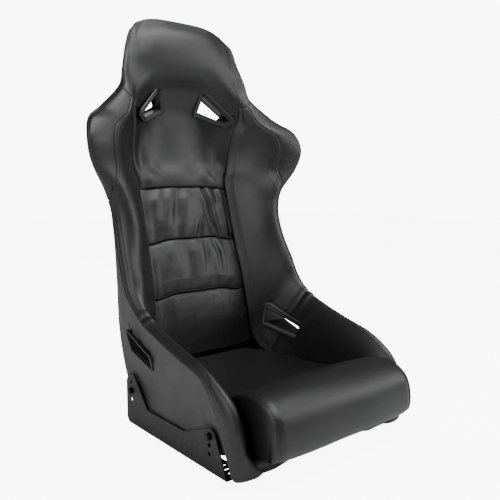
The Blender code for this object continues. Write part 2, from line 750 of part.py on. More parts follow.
def x_rod(name, centre, radius, low_x, high_x, sides=16):
    """A cutter for a round hole along x."""
    bm = bmesh.new()
    bmesh.ops.create_cone(bm, cap_ends=True, segments=sides, radius1=radius, radius2=radius,
                          depth=high_x - low_x)
    for vertex in bm.verts:
        along, up, away = vertex.co.z, vertex.co.y, vertex.co.x
        vertex.co = Vector(((low_x + high_x) / 2 + along, centre[0] + up, centre[1] + away))
    bmesh.ops.recalc_face_normals(bm, faces=bm.faces)
    to_metres(bm)
    item = add_object(name, bm, "steel", CUTTERS)
    hide_cutter(item)
    return item


def rounded_profile(corners, steps=3):
    """(y, z) outline from corners given as (y, z, radius)."""
    points = []
    count = len(corners)
    for k, (y, z, radius) in enumerate(corners):
        corner = Vector((y, z, 0))
        if radius == 0:
            points.append((y, z))
            continue
        before = Vector((corners[k - 1][0], corners[k - 1][1], 0)) - corner
        ahead = corners[(k + 1) % count]
        after = Vector((ahead[0], ahead[1], 0)) - corner
        half = before.angle(after) / 2
        start = corner + before.normalized() * (radius / math.tan(half))
        end = corner + after.normalized() * (radius / math.tan(half))
        middle = (before.normalized() + after.normalized()).normalized()
        centre = corner + middle * (radius / math.sin(half))
        for step in range(steps + 1):
            chord = start.lerp(end, step / steps) - centre
            spot = centre + chord.normalized() * radius
            points.append((spot.x, spot.y))
    return points


def build_bracket(side, left):
    sign = -1 if left else 1
    plate = prism(side + "_bracket", rounded_profile(BRACKET_OUTLINE),
                  sign * (BRACKET_X - BRACKET_PLATE / 2), sign * (BRACKET_X + BRACKET_PLATE / 2),
                  "steel")
    inner = BRACKET_X - FLANGE_WIDTH
    edges = sorted((sign * inner, sign * (BRACKET_X + BRACKET_PLATE / 2)))
    flange = block(side + "_flange", (edges[0], FLANGE_FRONT, 0), (edges[1], FLANGE_REAR, 3))
    hide_cutter(flange)
    join = plate.modifiers.new("flange", "BOOLEAN")
    join.operation = "UNION"
    join.object = flange
    low_x, high_x = sorted((sign * (BRACKET_X - 8), sign * (BRACKET_X + 8)))
    holes = [(REAR_BOLT[0], z) for z in REAR_HOLE_HEIGHTS]
    holes += [(FRONT_BOLT[0], z) for z in FRONT_HOLE_HEIGHTS]
    for number, centre in enumerate(holes):
        cut(plate, x_rod(side + "_bracket_hole_%d" % number, centre, HOLE_RADIUS, low_x, high_x, 12))
    for number, y in enumerate(FLANGE_SLOT_Y):
        ends = sorted((sign * FLANGE_SLOT_X[0], sign * FLANGE_SLOT_X[1]))
        slot = block(side + "_flange_slot_%d" % number, (ends[0], y - 3.5, -5),
                     (ends[1], y + 3.5, 8))
        bevel = slot.modifiers.new("round", "BEVEL")
        bevel.width = 3.0 * MM
        bevel.segments = 2
        bevel.limit_method = "ANGLE"
        hide_cutter(slot)
        cut(plate, slot)


def turned(name, centre, profile, material, left, sides=14):
    """A piece turned about an x axis: the profile is (x, radius) pairs, outer end first."""
    bm = bmesh.new()
    loops = []
    for x, radius in profile:
        loop = []
        for step in range(sides):
            angle = 2 * math.pi * step / sides
            spot = Vector((x, centre[0] + radius * math.cos(angle),
                           centre[1] + radius * math.sin(angle)))
            loop.append(bm.verts.new(spot))
        loops.append(loop)
    closed = profile[0] == profile[-1]
    if closed:
        for vertex in loops.pop():
            bm.verts.remove(vertex)
    pairs = list(zip(loops, loops[1:]))
    if closed:
        pairs.append((loops[-1], loops[0]))
    else:
        bm.faces.new(loops[0])
        bm.faces.new(loops[-1])
    for loop, ahead in pairs:
        for step in range(sides):
            nearby = (step + 1) % sides
            bm.faces.new((loop[step], loop[nearby], ahead[nearby], ahead[step]))
    bmesh.ops.recalc_face_normals(bm, faces=bm.faces)
    if left:
        mirror_mesh(bm)
    to_metres(bm)
    return add_object(name, bm, material)


def build_fasteners(pads):
    """At each ear: bolt and washer outside, spacer, and a threaded insert through the shell."""
    outer = BRACKET_X + BRACKET_PLATE / 2
    inner = BRACKET_X - BRACKET_PLATE / 2
    washer_in = outer + FIT_GAP
    head_in = washer_in + WASHER_THICK + FIT_GAP
    bore = BOLT_RADIUS + FIT_GAP
    for side, left in SIDES:
        sign = -1 if left else 1
        for end, centre in (("front", FRONT_BOLT), ("rear", REAR_BOLT)):
            name = side + "_" + end
            head = [(head_in + BOLT_HEAD, 4.6), (head_in + BOLT_HEAD - 1, 6.2), (head_in, 6.5)]
            shank = [(head_in, BOLT_RADIUS), (INSERT_X[0] + 1, BOLT_RADIUS)]
            turned(name + "_bolt", centre, head + shank, "fastener", left)
            for piece, low_x, high_x, radius in (
                ("_washer", washer_in, washer_in + WASHER_THICK, 8.5),
                ("_spacer", INSERT_X[1] + FIT_GAP, inner - FIT_GAP, 8.0),
                ("_insert", INSERT_X[0], INSERT_X[1], INSERT_RADIUS),
            ):
                turned(name + piece, centre,
                       [(high_x, bore), (high_x, radius), (low_x, radius), (low_x, bore),
                        (high_x, bore)], "fastener", left, sides=12)
            ends = sorted((sign * (INSERT_X[0] - 3), sign * (INSERT_X[1] + 3)))
            hole = x_rod(name + "_insert_hole", centre, INSERT_RADIUS + 1, ends[0], ends[1], 12)
            for item in pads:
                if item.name in ("shell", side + "_thigh_bolster_foam",
                                 side + "_back_bolster_foam"):
                    cut(item, hole)


def build_strips():
    """Hook strips glued to the shell, loop strips under the cushions, and a blank tag."""
    wall = SHELL_WALL / 2
    for piece, depth in (("hook", wall + STRIP + FIT_GAP), ("loop", wall + 2 * (STRIP + FIT_GAP))):
        add_sheet("back_" + piece + "_strip", shell_inset, (-0.5, 0.5), (9, 11), (2, 2),
                  depth, STRIP, "strip")
    for piece, low_z, high_z in (("hook", 53.5, 54.7), ("loop", 55.0, 56.2)):
        strip = block("seat_" + piece + "_strip", (-90, SEAT_STRIP_Y[0], low_z),
                      (90, SEAT_STRIP_Y[1], high_z), SEAT)
        strip.data.materials[0] = MATERIALS["strip"]
    tag = block("side_tag", TAG_LOW, TAG_HIGH, SEAT)
    tag.data.materials[0] = MATERIALS["strip"]


shell_item = build_shell()
pads = [shell_item] + build_bolsters() + build_head()
build_back_cushion()
build_seat_cushion()
build_bezels(pads)
for side, left in SIDES:
    build_bracket(side, left)
build_fasteners(pads)
build_strips()
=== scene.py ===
"""Fixed-back racing seat: upholstered pads, moulded shell, bezels, side mounts and fasteners."""

import math

import bmesh
import bpy
import numpy as np
from mathutils import Matrix, Vector


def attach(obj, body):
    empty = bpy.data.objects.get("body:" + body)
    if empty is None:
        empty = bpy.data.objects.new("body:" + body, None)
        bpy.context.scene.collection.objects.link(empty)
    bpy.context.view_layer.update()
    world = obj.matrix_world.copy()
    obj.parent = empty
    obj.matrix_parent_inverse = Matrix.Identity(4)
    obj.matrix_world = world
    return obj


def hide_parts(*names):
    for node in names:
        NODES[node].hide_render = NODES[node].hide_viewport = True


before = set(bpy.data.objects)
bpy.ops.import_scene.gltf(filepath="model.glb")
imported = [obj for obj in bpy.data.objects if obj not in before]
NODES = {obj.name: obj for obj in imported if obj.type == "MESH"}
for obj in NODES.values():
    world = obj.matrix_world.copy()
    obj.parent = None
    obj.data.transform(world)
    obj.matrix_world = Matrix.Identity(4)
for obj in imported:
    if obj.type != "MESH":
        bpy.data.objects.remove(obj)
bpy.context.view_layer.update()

MM = 0.001
ORIGIN_Y = -14.9            # the seat's place along y, in millimetres
SIDES = (("left", -1), ("right", 1))

# ---------------------------------------------------------------- the seat's lines
# Stations from the front lip of the pan, over the hip and the wings, to the top of the head.
# Skin curves, out from the middle: centre (y, z), quarter, valley, flank, crest, rim, edge.
# Shell curves: base (y, z), corner, side. All in millimetres, for the side at +X.
STATIONS = [
    # front lip of the pan, and the bottom of the thigh bolsters' front ends
    dict(centre=(-236, 26), quarter=(95, -236, 24), valley=(190, -206, 16),
         flank=(199, -228, 14), crest=(216, -240, 13), rim=(233, -236, 17),
         edge=(237, -226, 22), base=(-232, 22), corner=(178, -202, 22), side=(211, -194, 26)),
    dict(centre=(-230, 46), quarter=(95, -230, 46), valley=(190, -200, 56),
         flank=(200, -228, 57), crest=(218, -245, 58), rim=(235, -236, 58),
         edge=(238, -212, 56), base=(-226, 42), corner=(178, -198, 38), side=(212, -188, 46)),
    dict(centre=(-200, 54), quarter=(95, -200, 54), valley=(190, -186, 90),
         flank=(201, -212, 104), crest=(222, -240, 112), rim=(237, -228, 110),
         edge=(239, -192, 102), base=(-196, 50), corner=(178, -186, 44), side=(212, -172, 60)),
    dict(centre=(-160, 54), quarter=(95, -160, 54), valley=(190, -158, 92),
         flank=(202, -178, 134), crest=(223, -216, 156), rim=(238, -198, 152),
         edge=(240, -168, 142), base=(-156, 50), corner=(178, -150, 44), side=(213, -150, 80)),
    dict(centre=(-100, 52), quarter=(95, -100, 52), valley=(190, -108, 84),
         flank=(202, -122, 148), crest=(222, -152, 193), rim=(238, -142, 189),
         edge=(241, -134, 178), base=(-96, 50), corner=(178, -98, 44), side=(213, -100, 92)),
    dict(centre=(-30, 49), quarter=(95, -30, 49), valley=(189, -40, 80),
         flank=(199, -50, 148), crest=(219, -84, 212), rim=(238, -78, 208),
         edge=(243, -70, 198), base=(-26, 50), corner=(178, -34, 44), side=(213, -36, 96)),
    dict(centre=(50, 47), quarter=(94, 50, 47), valley=(186, 40, 78),
         flank=(194, 40, 152), crest=(219, -8, 235), rim=(239, -4, 232),
         edge=(245, 4, 222), base=(54, 49), corner=(178, 46, 43), side=(213, 34, 100)),
    # hip, where the thigh and back bolsters meet
    dict(centre=(140, 58), quarter=(88, 140, 60), valley=(166, 124, 88),
         flank=(190, 100, 168), crest=(220, 48, 258), rim=(239, 54, 257),
         edge=(247, 64, 248), base=(160, 50), corner=(182, 150, 46), side=(213, 110, 106)),
    dict(centre=(174, 114), quarter=(76, 174, 114), valley=(147, 168, 128),
         flank=(186, 124, 216), crest=(215, 84, 293), rim=(240, 96, 296),
         edge=(251, 112, 293), base=(222, 92), corner=(186, 202, 84), side=(219, 160, 152)),
    dict(centre=(184, 210), quarter=(70, 184, 210), valley=(137, 180, 206),
         flank=(178, 138, 278), crest=(211, 106, 340), rim=(238, 120, 342),
         edge=(250, 138, 340), base=(240, 190), corner=(188, 222, 180), side=(226, 184, 244)),
    dict(centre=(205, 310), quarter=(68, 206, 310), valley=(131, 200, 304),
         flank=(169, 158, 350), crest=(206, 132, 396), rim=(231, 146, 398),
         edge=(244, 166, 398), base=(246, 300), corner=(182, 234, 292), side=(222, 204, 336)),
    dict(centre=(236, 410), quarter=(66, 237, 410), valley=(127, 230, 402),
         flank=(164, 178, 430), crest=(202, 148, 458), rim=(229, 163, 460),
         edge=(242, 187, 462), base=(268, 400), corner=(172, 262, 396), side=(217, 224, 424)),
    dict(centre=(270, 530), quarter=(66, 270, 529), valley=(127, 264, 524),
         flank=(166, 203, 518), crest=(214, 159, 512), rim=(245, 168, 512),
         edge=(256, 190, 514), base=(298, 530), corner=(166, 290, 520), side=(222, 236, 512)),
    # wings
    dict(centre=(280, 574), quarter=(70, 280, 572), valley=(137, 269, 568),
         flank=(178, 216, 568), crest=(231, 170, 568), rim=(286, 159, 570),
         edge=(291, 174, 572), base=(306, 562), corner=(160, 298, 562), side=(240, 240, 566)),
    dict(centre=(286, 622), quarter=(72, 286, 620), valley=(142, 265, 614),
         flank=(186, 213, 616), crest=(239, 165, 618), rim=(298, 151, 620),
         edge=(304, 167, 622), base=(314, 622), corner=(160, 302, 620), side=(246, 240, 622)),
    dict(centre=(289, 676), quarter=(76, 285, 668), valley=(145, 251, 662),
         flank=(184, 209, 660), crest=(230, 173, 658), rim=(284, 167, 665),
         edge=(292, 183, 671), base=(318, 680), corner=(150, 300, 672), side=(234, 242, 672)),
    dict(centre=(287, 718), quarter=(80, 278, 706), valley=(152, 238, 692),
         flank=(166, 222, 690), crest=(190, 197, 688), rim=(238, 196, 696),
         edge=(247, 212, 704), base=(320, 725), corner=(128, 304, 716), side=(200, 256, 712)),
    # neck seam
    dict(centre=(272, 760), quarter=(78, 268, 750), valley=(150, 232, 728),
         flank=(158, 224, 728), crest=(170, 216, 729), rim=(186, 222, 744),
         edge=(192, 238, 752), base=(320, 768), corner=(105, 306, 764), side=(165, 268, 756)),
    dict(centre=(244, 800), quarter=(76, 244, 798), valley=(128, 242, 786),
         flank=(146, 240, 782), crest=(161, 237, 780), rim=(174, 242, 785),
         edge=(180, 256, 791), base=(314, 806), corner=(100, 304, 804), side=(150, 280, 796)),
    dict(centre=(238, 844), quarter=(74, 240, 842), valley=(120, 245, 836),
         flank=(136, 248, 834), crest=(151, 251, 836), rim=(160, 259, 838),
         edge=(164, 270, 842), base=(308, 846), corner=(96, 302, 846), side=(136, 290, 840)),
    dict(centre=(247, 890), quarter=(72, 249, 887), valley=(112, 255, 880),
         flank=(126, 259, 878), crest=(138, 264, 878), rim=(147, 272, 880),
         edge=(149, 282, 882), base=(302, 890), corner=(90, 300, 887), side=(124, 297, 880)),
    dict(centre=(270, 924), quarter=(66, 269, 922), valley=(100, 271, 915),
         flank=(112, 273, 911), crest=(121, 276, 908), rim=(129, 281, 906),
         edge=(131, 288, 906), base=(296, 924), corner=(82, 297, 919), side=(110, 299, 908)),
]
SKIN_CURVES = ("centre", "quarter", "valley", "flank", "crest", "rim", "edge")
VALLEY, FLANK, CREST, RIM, EDGE = 2, 3, 4, 5, 6
SHELL_CURVES = ("base", "corner", "side")
BASE, CORNER, SIDE = 0, 1, 2
LIP, HIP, WING_LOW, NECK, TOP = 0, 7, 12, 17, 21
X, Y, Z = 0, 1, 2
COVER_OVER_SHELL = 6.4      # from the skin's face to the middle of the shell wall at its edge
SHELL_TUCK = 0.5            # how far the shell reaches past that edge, in skin curves
SHELL_WALL = 4.0


def cubic(p0, p1, p2, p3, f):
    """Catmull-Rom curve from p1 to p2, at the share f of the way."""
    a = (p2 - p0) * 0.5
    b = p0 - p1 * 2.5 + p2 * 2 - p3 * 0.5
    c = (p3 - p0) * 0.5 + (p1 - p2) * 1.5
    return p1 + a * f + b * f * f + c * f * f * f


def spline(points, t):
    """Catmull-Rom spline through points (their first axis), at each t."""
    last = len(points) - 1
    i = np.clip(np.floor(t).astype(int), 0, last - 1)
    f = (t - i).reshape((-1,) + (1,) * (points.ndim - 1))
    first = (i > 0).reshape(f.shape)
    final = (i + 2 <= last).reshape(f.shape)
    p1 = points[i]
    p2 = points[i + 1]
    p0 = np.where(first, points[np.maximum(i - 1, 0)], 2 * p1 - p2)
    p3 = np.where(final, points[np.minimum(i + 2, last)], 2 * p2 - p1)
    return cubic(p0, p1, p2, p3, f)


def loft(curves, u, v):
    """Points of a lofted surface. Below u = 0 it carries on to the other side."""
    u, v = np.broadcast_arrays(np.asarray(u, float), np.asarray(v, float))
    shape = u.shape
    u = u.reshape(-1)
    rows = spline(curves.transpose(1, 0, 2), v.reshape(-1)).transpose(1, 0, 2)
    mirror = rows[1:2] * np.array([-1, 1, 1])
    rows = np.concatenate([mirror, rows])
    t = np.abs(u) + 1
    last = len(rows) - 1
    i = np.clip(np.floor(t).astype(int), 0, last - 1)
    each = np.arange(len(u))
    f = (t - i)[:, None]
    p1 = rows[i, each]
    p2 = rows[i + 1, each]
    p0 = np.where((i > 0)[:, None], rows[np.maximum(i - 1, 0), each], 2 * p1 - p2)
    p3 = np.where((i + 2 <= last)[:, None], rows[np.minimum(i + 2, last), each], 2 * p2 - p1)
    points = cubic(p0, p1, p2, p3, f)
    points[:, X] *= np.where(u < 0, -1.0, 1.0)
    return points.reshape(shape + (3,))


def unit(vectors):
    """The vectors at length 1."""
    return vectors / np.maximum(np.linalg.norm(vectors, axis=-1, keepdims=True), 1e-9)


def facing(curves, u, v):
    """Unit normals, towards the occupant."""
    step = 0.02
    along_u = loft(curves, u + step, v) - loft(curves, u - step, v)
    along_v = loft(curves, u, v + step) - loft(curves, u, v - step)
    return unit(np.cross(along_u, along_v))


def curves_named(names):
    """The curves' points at every station. A point of two numbers lies on the middle plane."""
    curves = [[station[name] for station in STATIONS] for name in names]
    return np.array([[(0.0,) * (3 - len(spot)) + spot for spot in row] for row in curves], float)


SKIN = curves_named(SKIN_CURVES)


def shell_curves():
    """The shell's curves, the last of them just inside the covers' edge."""
    stations = np.arange(len(STATIONS), dtype=float)
    tuck = EDGE - SHELL_TUCK
    free_edge = loft(SKIN, tuck, stations) - facing(SKIN, tuck, stations) * COVER_OVER_SHELL
    return np.concatenate([curves_named(SHELL_CURVES), free_edge[None]])


def by_station(stations, shares):
    """How fully a change is made at each station."""
    return np.interp(np.arange(len(STATIONS)), stations, shares)


# the shell's lower corner, squared down behind the mounts
SQUARED = by_station([1.4, 2.6, 6.5, 7.4], [0, 1, 1, 0])
# the head's sides, drawn in towards the front
DRAWN_IN = by_station([17, 18, 20, 21], [0, 1, 1, 0.3])
SKIN[EDGE, :, Y] -= 14 * DRAWN_IN
SKIN[RIM, :, Y] -= 7 * DRAWN_IN
# the head's top corners, rounded
SKIN[FLANK:, TOP] = [(112, 272, 911), (121, 273, 908), (127, 275, 904), (125, 280, 901)]
SKIN[FLANK:, TOP - 1, Y] -= (2, 3, 5, 6)
# the thigh bolsters' front ends, spread under the cushion at the foot
SKIN[VALLEY, LIP] = (146, -220, 16)
SKIN[FLANK, LIP] = (174, -243, 11)

SHELL = shell_curves()
SHELL[CORNER, :, Z] -= 15 * SQUARED
SHELL[CORNER, :, X] += 18 * SQUARED
SHELL[SIDE, :, Y] -= 13 * DRAWN_IN
# behind the neck and the head the shell follows the pads more closely
CLOSE = by_station([13, 15, 21], [0, 1, 0.9])
SHELL[BASE, :, Y] -= 12 * CLOSE
SHELL[CORNER, :, Y] -= 26 * CLOSE
SHELL[SIDE, :, Y] -= 6 * CLOSE


# ---------------------------------------------------------------- finishes

def linear(code):
    """Linear RGBA of an sRGB hex code."""
    parts = [int(code[k:k + 2], 16) / 255 for k in (1, 3, 5)]
    made = [c / 12.92 if c <= 0.04045 else ((c + 0.055) / 1.055) ** 2.4 for c in parts]
    return tuple(made) + (1.0,)


def add_node(tree, kind, settings=None, links=None):
    """A node with its settings, and its inputs linked or set by name or number."""
    node = tree.nodes.new(kind)
    for key, value in (settings or {}).items():
        setattr(node, key, value)
    for key, value in (links or {}).items():
        socket = node.inputs[key]
        if isinstance(value, bpy.types.NodeSocket):
            tree.links.new(value, socket)
        else:
            socket.default_value = value
    return node


def new_finish(name, colour, roughness, metallic=0.0):
    """A material, with its tree, its shader and the object's own coordinates."""
    material = bpy.data.materials.new(name)
    material.use_nodes = True
    tree = material.node_tree
    shader = tree.nodes["Principled BSDF"]
    shader.inputs["Base Color"].default_value = linear(colour)
    shader.inputs["Roughness"].default_value = roughness
    shader.inputs["Metallic"].default_value = metallic
    shader.inputs["IOR"].default_value = 1.5
    coordinates = add_node(tree, "ShaderNodeTexCoord").outputs["Object"]
    return material, tree, shader, coordinates


def ramp(tree, value, low, high, from_low=0.0, from_high=1.0):
    """The value, moved from one range to another."""
    node = add_node(tree, "ShaderNodeMapRange", None,
                    {"Value": value, "From Min": from_low, "From Max": from_high,
                     "To Min": low, "To Max": high})
    return node.outputs["Result"]


def noise(tree, spot, size, detail, roughness=0.5):
    """Noise with features of about that size, in millimetres."""
    node = add_node(tree, "ShaderNodeTexNoise", None,
                    {"Vector": spot, "Scale": 1000 / size, "Detail": detail,
                     "Roughness": roughness})
    return node.outputs["Fac"]


def bands(tree, spot, direction, size):
    """Parallel bands in one direction, about that far apart in millimetres."""
    node = add_node(tree, "ShaderNodeTexWave", {"bands_direction": direction},
                    {"Vector": spot, "Scale": 1000 / size})
    return node.outputs["Fac"]


def relief(tree, height, strength, distance, under=None):
    """The normals of a height field, laid over those of another."""
    links = {"Strength": strength, "Distance": distance, "Height": height}
    if under is not None:
        links["Normal"] = under
    return add_node(tree, "ShaderNodeBump", None, links).outputs["Normal"]


def tint(tree, shader, share, low, high):
    """Base colour between two sRGB codes, by the share."""
    shade = add_node(tree, "ShaderNodeMix", {"data_type": "RGBA"},
                     {0: share, 6: linear(low), 7: linear(high)})
    tree.links.new(shade.outputs[2], shader.inputs["Base Color"])


def leathercloth():
    """Black vinyl leathercloth, embossed with a fine grain: soft broad highlights."""
    material, tree, shader, spot = new_finish("Black grained leathercloth", "#0f0f10", 0.42)
    grain = add_node(tree, "ShaderNodeTexVoronoi", {"feature": "DISTANCE_TO_EDGE"},
                     {"Vector": spot, "Scale": 1000 / 1.5, "Randomness": 1.0})
    wear = noise(tree, spot, 11, 4.0)
    tint(tree, shader, ramp(tree, wear, 0, 1, 0.3, 0.7), "#0d0d0e", "#141415")
    tree.links.new(ramp(tree, wear, 0.37, 0.47), shader.inputs["Roughness"])
    soft = relief(tree, noise(tree, spot, 60, 2.0), 0.05, 0.002)
    cells = relief(tree, ramp(tree, grain.outputs["Distance"], 0, 1, 0.0, 0.25), 0.55, 0.00014, soft)
    pores = relief(tree, noise(tree, spot, 0.9, 3.0), 0.5, 0.00008, cells)
    tree.links.new(pores, shader.inputs["Normal"])
    return material


def laminate():
    """Glass laminate with a textured dark grey gel coat: matt, with an orange-peel grain."""
    material, tree, shader, spot = new_finish("Textured gel-coat laminate", "#333334", 0.56)
    peel = noise(tree, spot, 2.2, 3.0)
    cloud = noise(tree, spot, 40, 4.0)
    tint(tree, shader, ramp(tree, cloud, 0, 1, 0.3, 0.7), "#363637", "#424243")
    tree.links.new(ramp(tree, peel, 0.50, 0.64), shader.inputs["Roughness"])
    tree.links.new(relief(tree, peel, 0.5, 0.0003), shader.inputs["Normal"])
    return material


def powder_coat():
    """Black powder coat on folded steel: satin, with a shallow orange peel and handling marks."""
    material, tree, shader, spot = new_finish("Black powder-coated steel", "#1b1b1c", 0.42)
    marks = noise(tree, spot, 9, 6.0, 0.7)
    tint(tree, shader, ramp(tree, marks, 0, 1, 0.52, 0.72), "#141415", "#1f1f20")
    tree.links.new(ramp(tree, marks, 0.36, 0.60, 0.3, 0.7), shader.inputs["Roughness"])
    tree.links.new(relief(tree, noise(tree, spot, 1.6, 2.0), 0.4, 0.0002), shader.inputs["Normal"])
    return material


def moulded_abs():
    """Black ABS from a spark-textured mould: even, dull sheen."""
    material, tree, shader, spot = new_finish("Spark-textured black ABS", "#161617", 0.46)
    spark = noise(tree, spot, 0.7, 2.0)
    tree.links.new(ramp(tree, spark, 0.40, 0.52), shader.inputs["Roughness"])
    tree.links.new(relief(tree, spark, 0.35, 0.0001), shader.inputs["Normal"])
    return material


def black_oxide():
    """Black-oxide steel: dark, lightly oiled metal."""
    material, tree, shader, spot = new_finish("Black-oxide steel", "#2b2b2d", 0.34, 0.8)
    tree.links.new(ramp(tree, noise(tree, spot, 1.5, 4.0), 0.26, 0.44), shader.inputs["Roughness"])
    return material


def thread():
    """Bonded polyester sewing thread: black, slightly brighter than the cloth it is sunk in."""
    material, tree, shader, spot = new_finish("Black polyester thread", "#2a2a2b", 0.5)
    twist = bands(tree, spot, "DIAGONAL", 3.0)
    tree.links.new(ramp(tree, twist, 0.42, 0.62), shader.inputs["Roughness"])
    return material


def woven_tape():
    """Woven black tape and base cloth: dull, with a crossed weave."""
    material, tree, shader, spot = new_finish("Woven black tape", "#101011", 0.9)
    weave = add_node(tree, "ShaderNodeMath", {"operation": "MULTIPLY"},
                     {0: bands(tree, spot, "X", 5.0), 1: bands(tree, spot, "Z", 5.0)})
    tint(tree, shader, weave.outputs["Value"], "#0c0c0d", "#1a1a1b")
    tree.links.new(relief(tree, weave.outputs["Value"], 0.5, 0.0003), shader.inputs["Normal"])
    return material


LEATHER = leathercloth()
LAMINATE = laminate()
POWDER = powder_coat()
PLASTIC = moulded_abs()
OXIDE = black_oxide()
THREAD = thread()
TAPE = woven_tape()

# ---------------------------------------------------------------- making pieces


COVER = 3.0                 # thickness of a visible cover
FIXED, SEAT, BACK = "seat_frame", "seat_cushion", "back_cushion"


def new_piece(name, points, faces, material, body, nodes=(), sharp=None):
    """A mesh piece from points in millimetres, riding on a body."""
    mesh = bpy.data.meshes.new(name)
    moved = (np.asarray(points, float) + np.array([0, ORIGIN_Y, 0])) * MM
    mesh.from_pydata(moved.tolist(), [], faces)
    mesh.update()
    item = bpy.data.objects.new(name, mesh)
    bpy.context.scene.collection.objects.link(item)
    return finish_piece(item, material, body, nodes, sharp)


def finish_piece(item, material, body, nodes=(), sharp=None):
    """Gives a piece its material and body, and hides the solids that it stands for."""
    item.data.materials.clear()
    item.data.materials.append(material)
    item.data.shade_smooth()
    if sharp is not None:
        item.data.set_sharp_from_angle(angle=math.radians(sharp))
    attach(item, body)
    if nodes:
        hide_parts(*nodes)
    return item


def new_cover(name, points, body, nodes, keep=None):
    """A padded leathercloth cover from a grid of points, standing for the nodes."""
    verts, faces = sheet_mesh(points, COVER, keep)
    return new_piece(name, verts, faces, LEATHER, body, nodes)


def ring_points(spot, radius, lead, other, sides):
    """A ring of points round a spot, in the plane of two vectors."""
    turns = [2 * math.pi * step / sides for step in range(sides)]
    return [spot + radius * (lead * math.cos(turn) + other * math.sin(turn)) for turn in turns]


def ring_faces(rings, sides, base=0):
    """Faces that join rings of points in turn, with one face over each end."""
    faces = []
    for ring in range(rings - 1):
        for step in range(sides):
            after = (step + 1) % sides
            a = base + ring * sides
            faces.append((a + step, a + after, a + sides + after, a + sides + step))
    faces.append(tuple(base + step for step in range(sides))[::-1])
    end = base + (rings - 1) * sides
    faces.append(tuple(end + step for step in range(sides)))
    return faces


def arc(points, axis):
    """Distance along each row of a grid of points, in millimetres, from its first point."""
    steps = np.linalg.norm(np.diff(points, axis=axis), axis=-1)
    start = np.zeros_like(np.take(steps, [0], axis=axis))
    return np.cumsum(np.concatenate([start, steps], axis=axis), axis=axis)


def grid_normals(points):
    """Unit normals of a grid of points, from its neighbours."""
    along_u = np.gradient(points, axis=0)
    along_v = np.gradient(points, axis=1)
    return unit(np.cross(along_u, along_v))


def skirt(points, normals, side, radius, depth, steps=5):
    """Rows that roll a grid's edge over and down, added at one side of the grid."""
    swap = side in ("low", "high")
    p = points.swapaxes(0, 1) if swap else points
    n = normals.swapaxes(0, 1) if swap else normals
    at_end = side in ("high", "right")
    if at_end:
        p = p[::-1]
        n = n[::-1]
    edge = p[0]
    normal = n[0]
    outward = unit(edge - p[2])
    outward = unit(outward - normal * np.sum(outward * normal, axis=-1, keepdims=True))
    rows = []
    turned = []
    for k in range(1, steps + 1):
        turn = math.pi / 2 * k / steps
        rows.append(edge + outward * radius * math.sin(turn)
                    - normal * radius * (1 - math.cos(turn)))
        turned.append(normal * math.cos(turn) + outward * math.sin(turn))
    straight = max(int((depth - radius) / 5), 1)
    for k in range(1, straight + 1):
        rows.append(rows[steps - 1] - normal * (depth - radius) * k / straight)
        turned.append(outward)
    p = np.concatenate([np.array(rows[::-1]), p])
    n = np.concatenate([np.array(turned[::-1]), n])
    if at_end:
        p = p[::-1]
        n = n[::-1]
    return (p.swapaxes(0, 1), n.swapaxes(0, 1)) if swap else (p, n)


def sheet_mesh(points, thickness, keep=None):
    """Points and faces of a closed sheet: a grid, its far side, and the walls between."""
    nu, nv = points.shape[:2]
    inner = points - grid_normals(points) * thickness
    verts = np.concatenate([points.reshape(-1, 3), inner.reshape(-1, 3)])
    half = nu * nv
    if keep is None:
        keep = np.ones((nu - 1, nv - 1), bool)
    cells = [(i, j, i * nv + j, (i + 1) * nv + j) for i, j in zip(*np.nonzero(keep))]
    faces = []
    for i, j, a, b in cells:
        faces.append((a, b, b + 1, a + 1))
        faces.append((a + 1 + half, b + 1 + half, b + half, a + half))
    padded = np.pad(keep, 1)
    for i, j, a, b in cells:
        c, d = b + 1, a + 1
        for empty, start, end in ((padded[i + 1, j], a, b), (padded[i + 2, j + 1], b, c),
                                  (padded[i + 1, j + 2], c, d), (padded[i, j + 1], d, a)):
            if not empty:
                faces.append((int(end), int(start), int(start + half), int(end + half)))
    used, index = np.unique(np.concatenate([np.array(f) for f in faces]), return_inverse=True)
    index = index.reshape(-1, 4)
    return verts[used], [tuple(int(k) for k in face) for face in index]


class Panel:
    """A cover made on a grid of the surface, with its distances from its own edges."""

    def __init__(self, surface, u, v):
        self.u, self.v = np.meshgrid(u, v, indexing="ij")
        self.points, self.normals = surface(self.u, self.v)
        self.measure()

    def measure(self):
        """Distances of every point from the panel's four edges, along the surface."""
        along = arc(self.points, 0)
        up = arc(self.points, 1)
        self.left = along
        self.right = along[-1:] - along
        self.low = up
        self.high = up[:, -1:] - up

    def push(self, height):
        """Moves the face out along its normals, by millimetres."""
        self.points = self.points + self.normals * np.asarray(height)[..., None]

    def line(self, side, distance, start=0.0, end=1.0):
        """Points of a line along one side, some millimetres in from it."""
        away = getattr(self, side)
        points = self.points
        if side in ("low", "high"):
            away = away.T
            points = points.swapaxes(0, 1)
        if away[0, 0] > away[-1, 0]:
            away = away[::-1]
            points = points[::-1]
        made = []
        for k in range(points.shape[1]):
            row = away[:, k]
            made.append([np.interp(distance, row, points[:, k, axis]) for axis in range(3)])
        return np.array(made)[int(start * len(made)):max(int(end * len(made)), 2)]


def seam_roll(distance, depth=2.4, reach=8.0):
    """How far a cover dips as it comes to a seam."""
    return -depth * (1 - np.clip(distance / reach, 0, 1)) ** 2


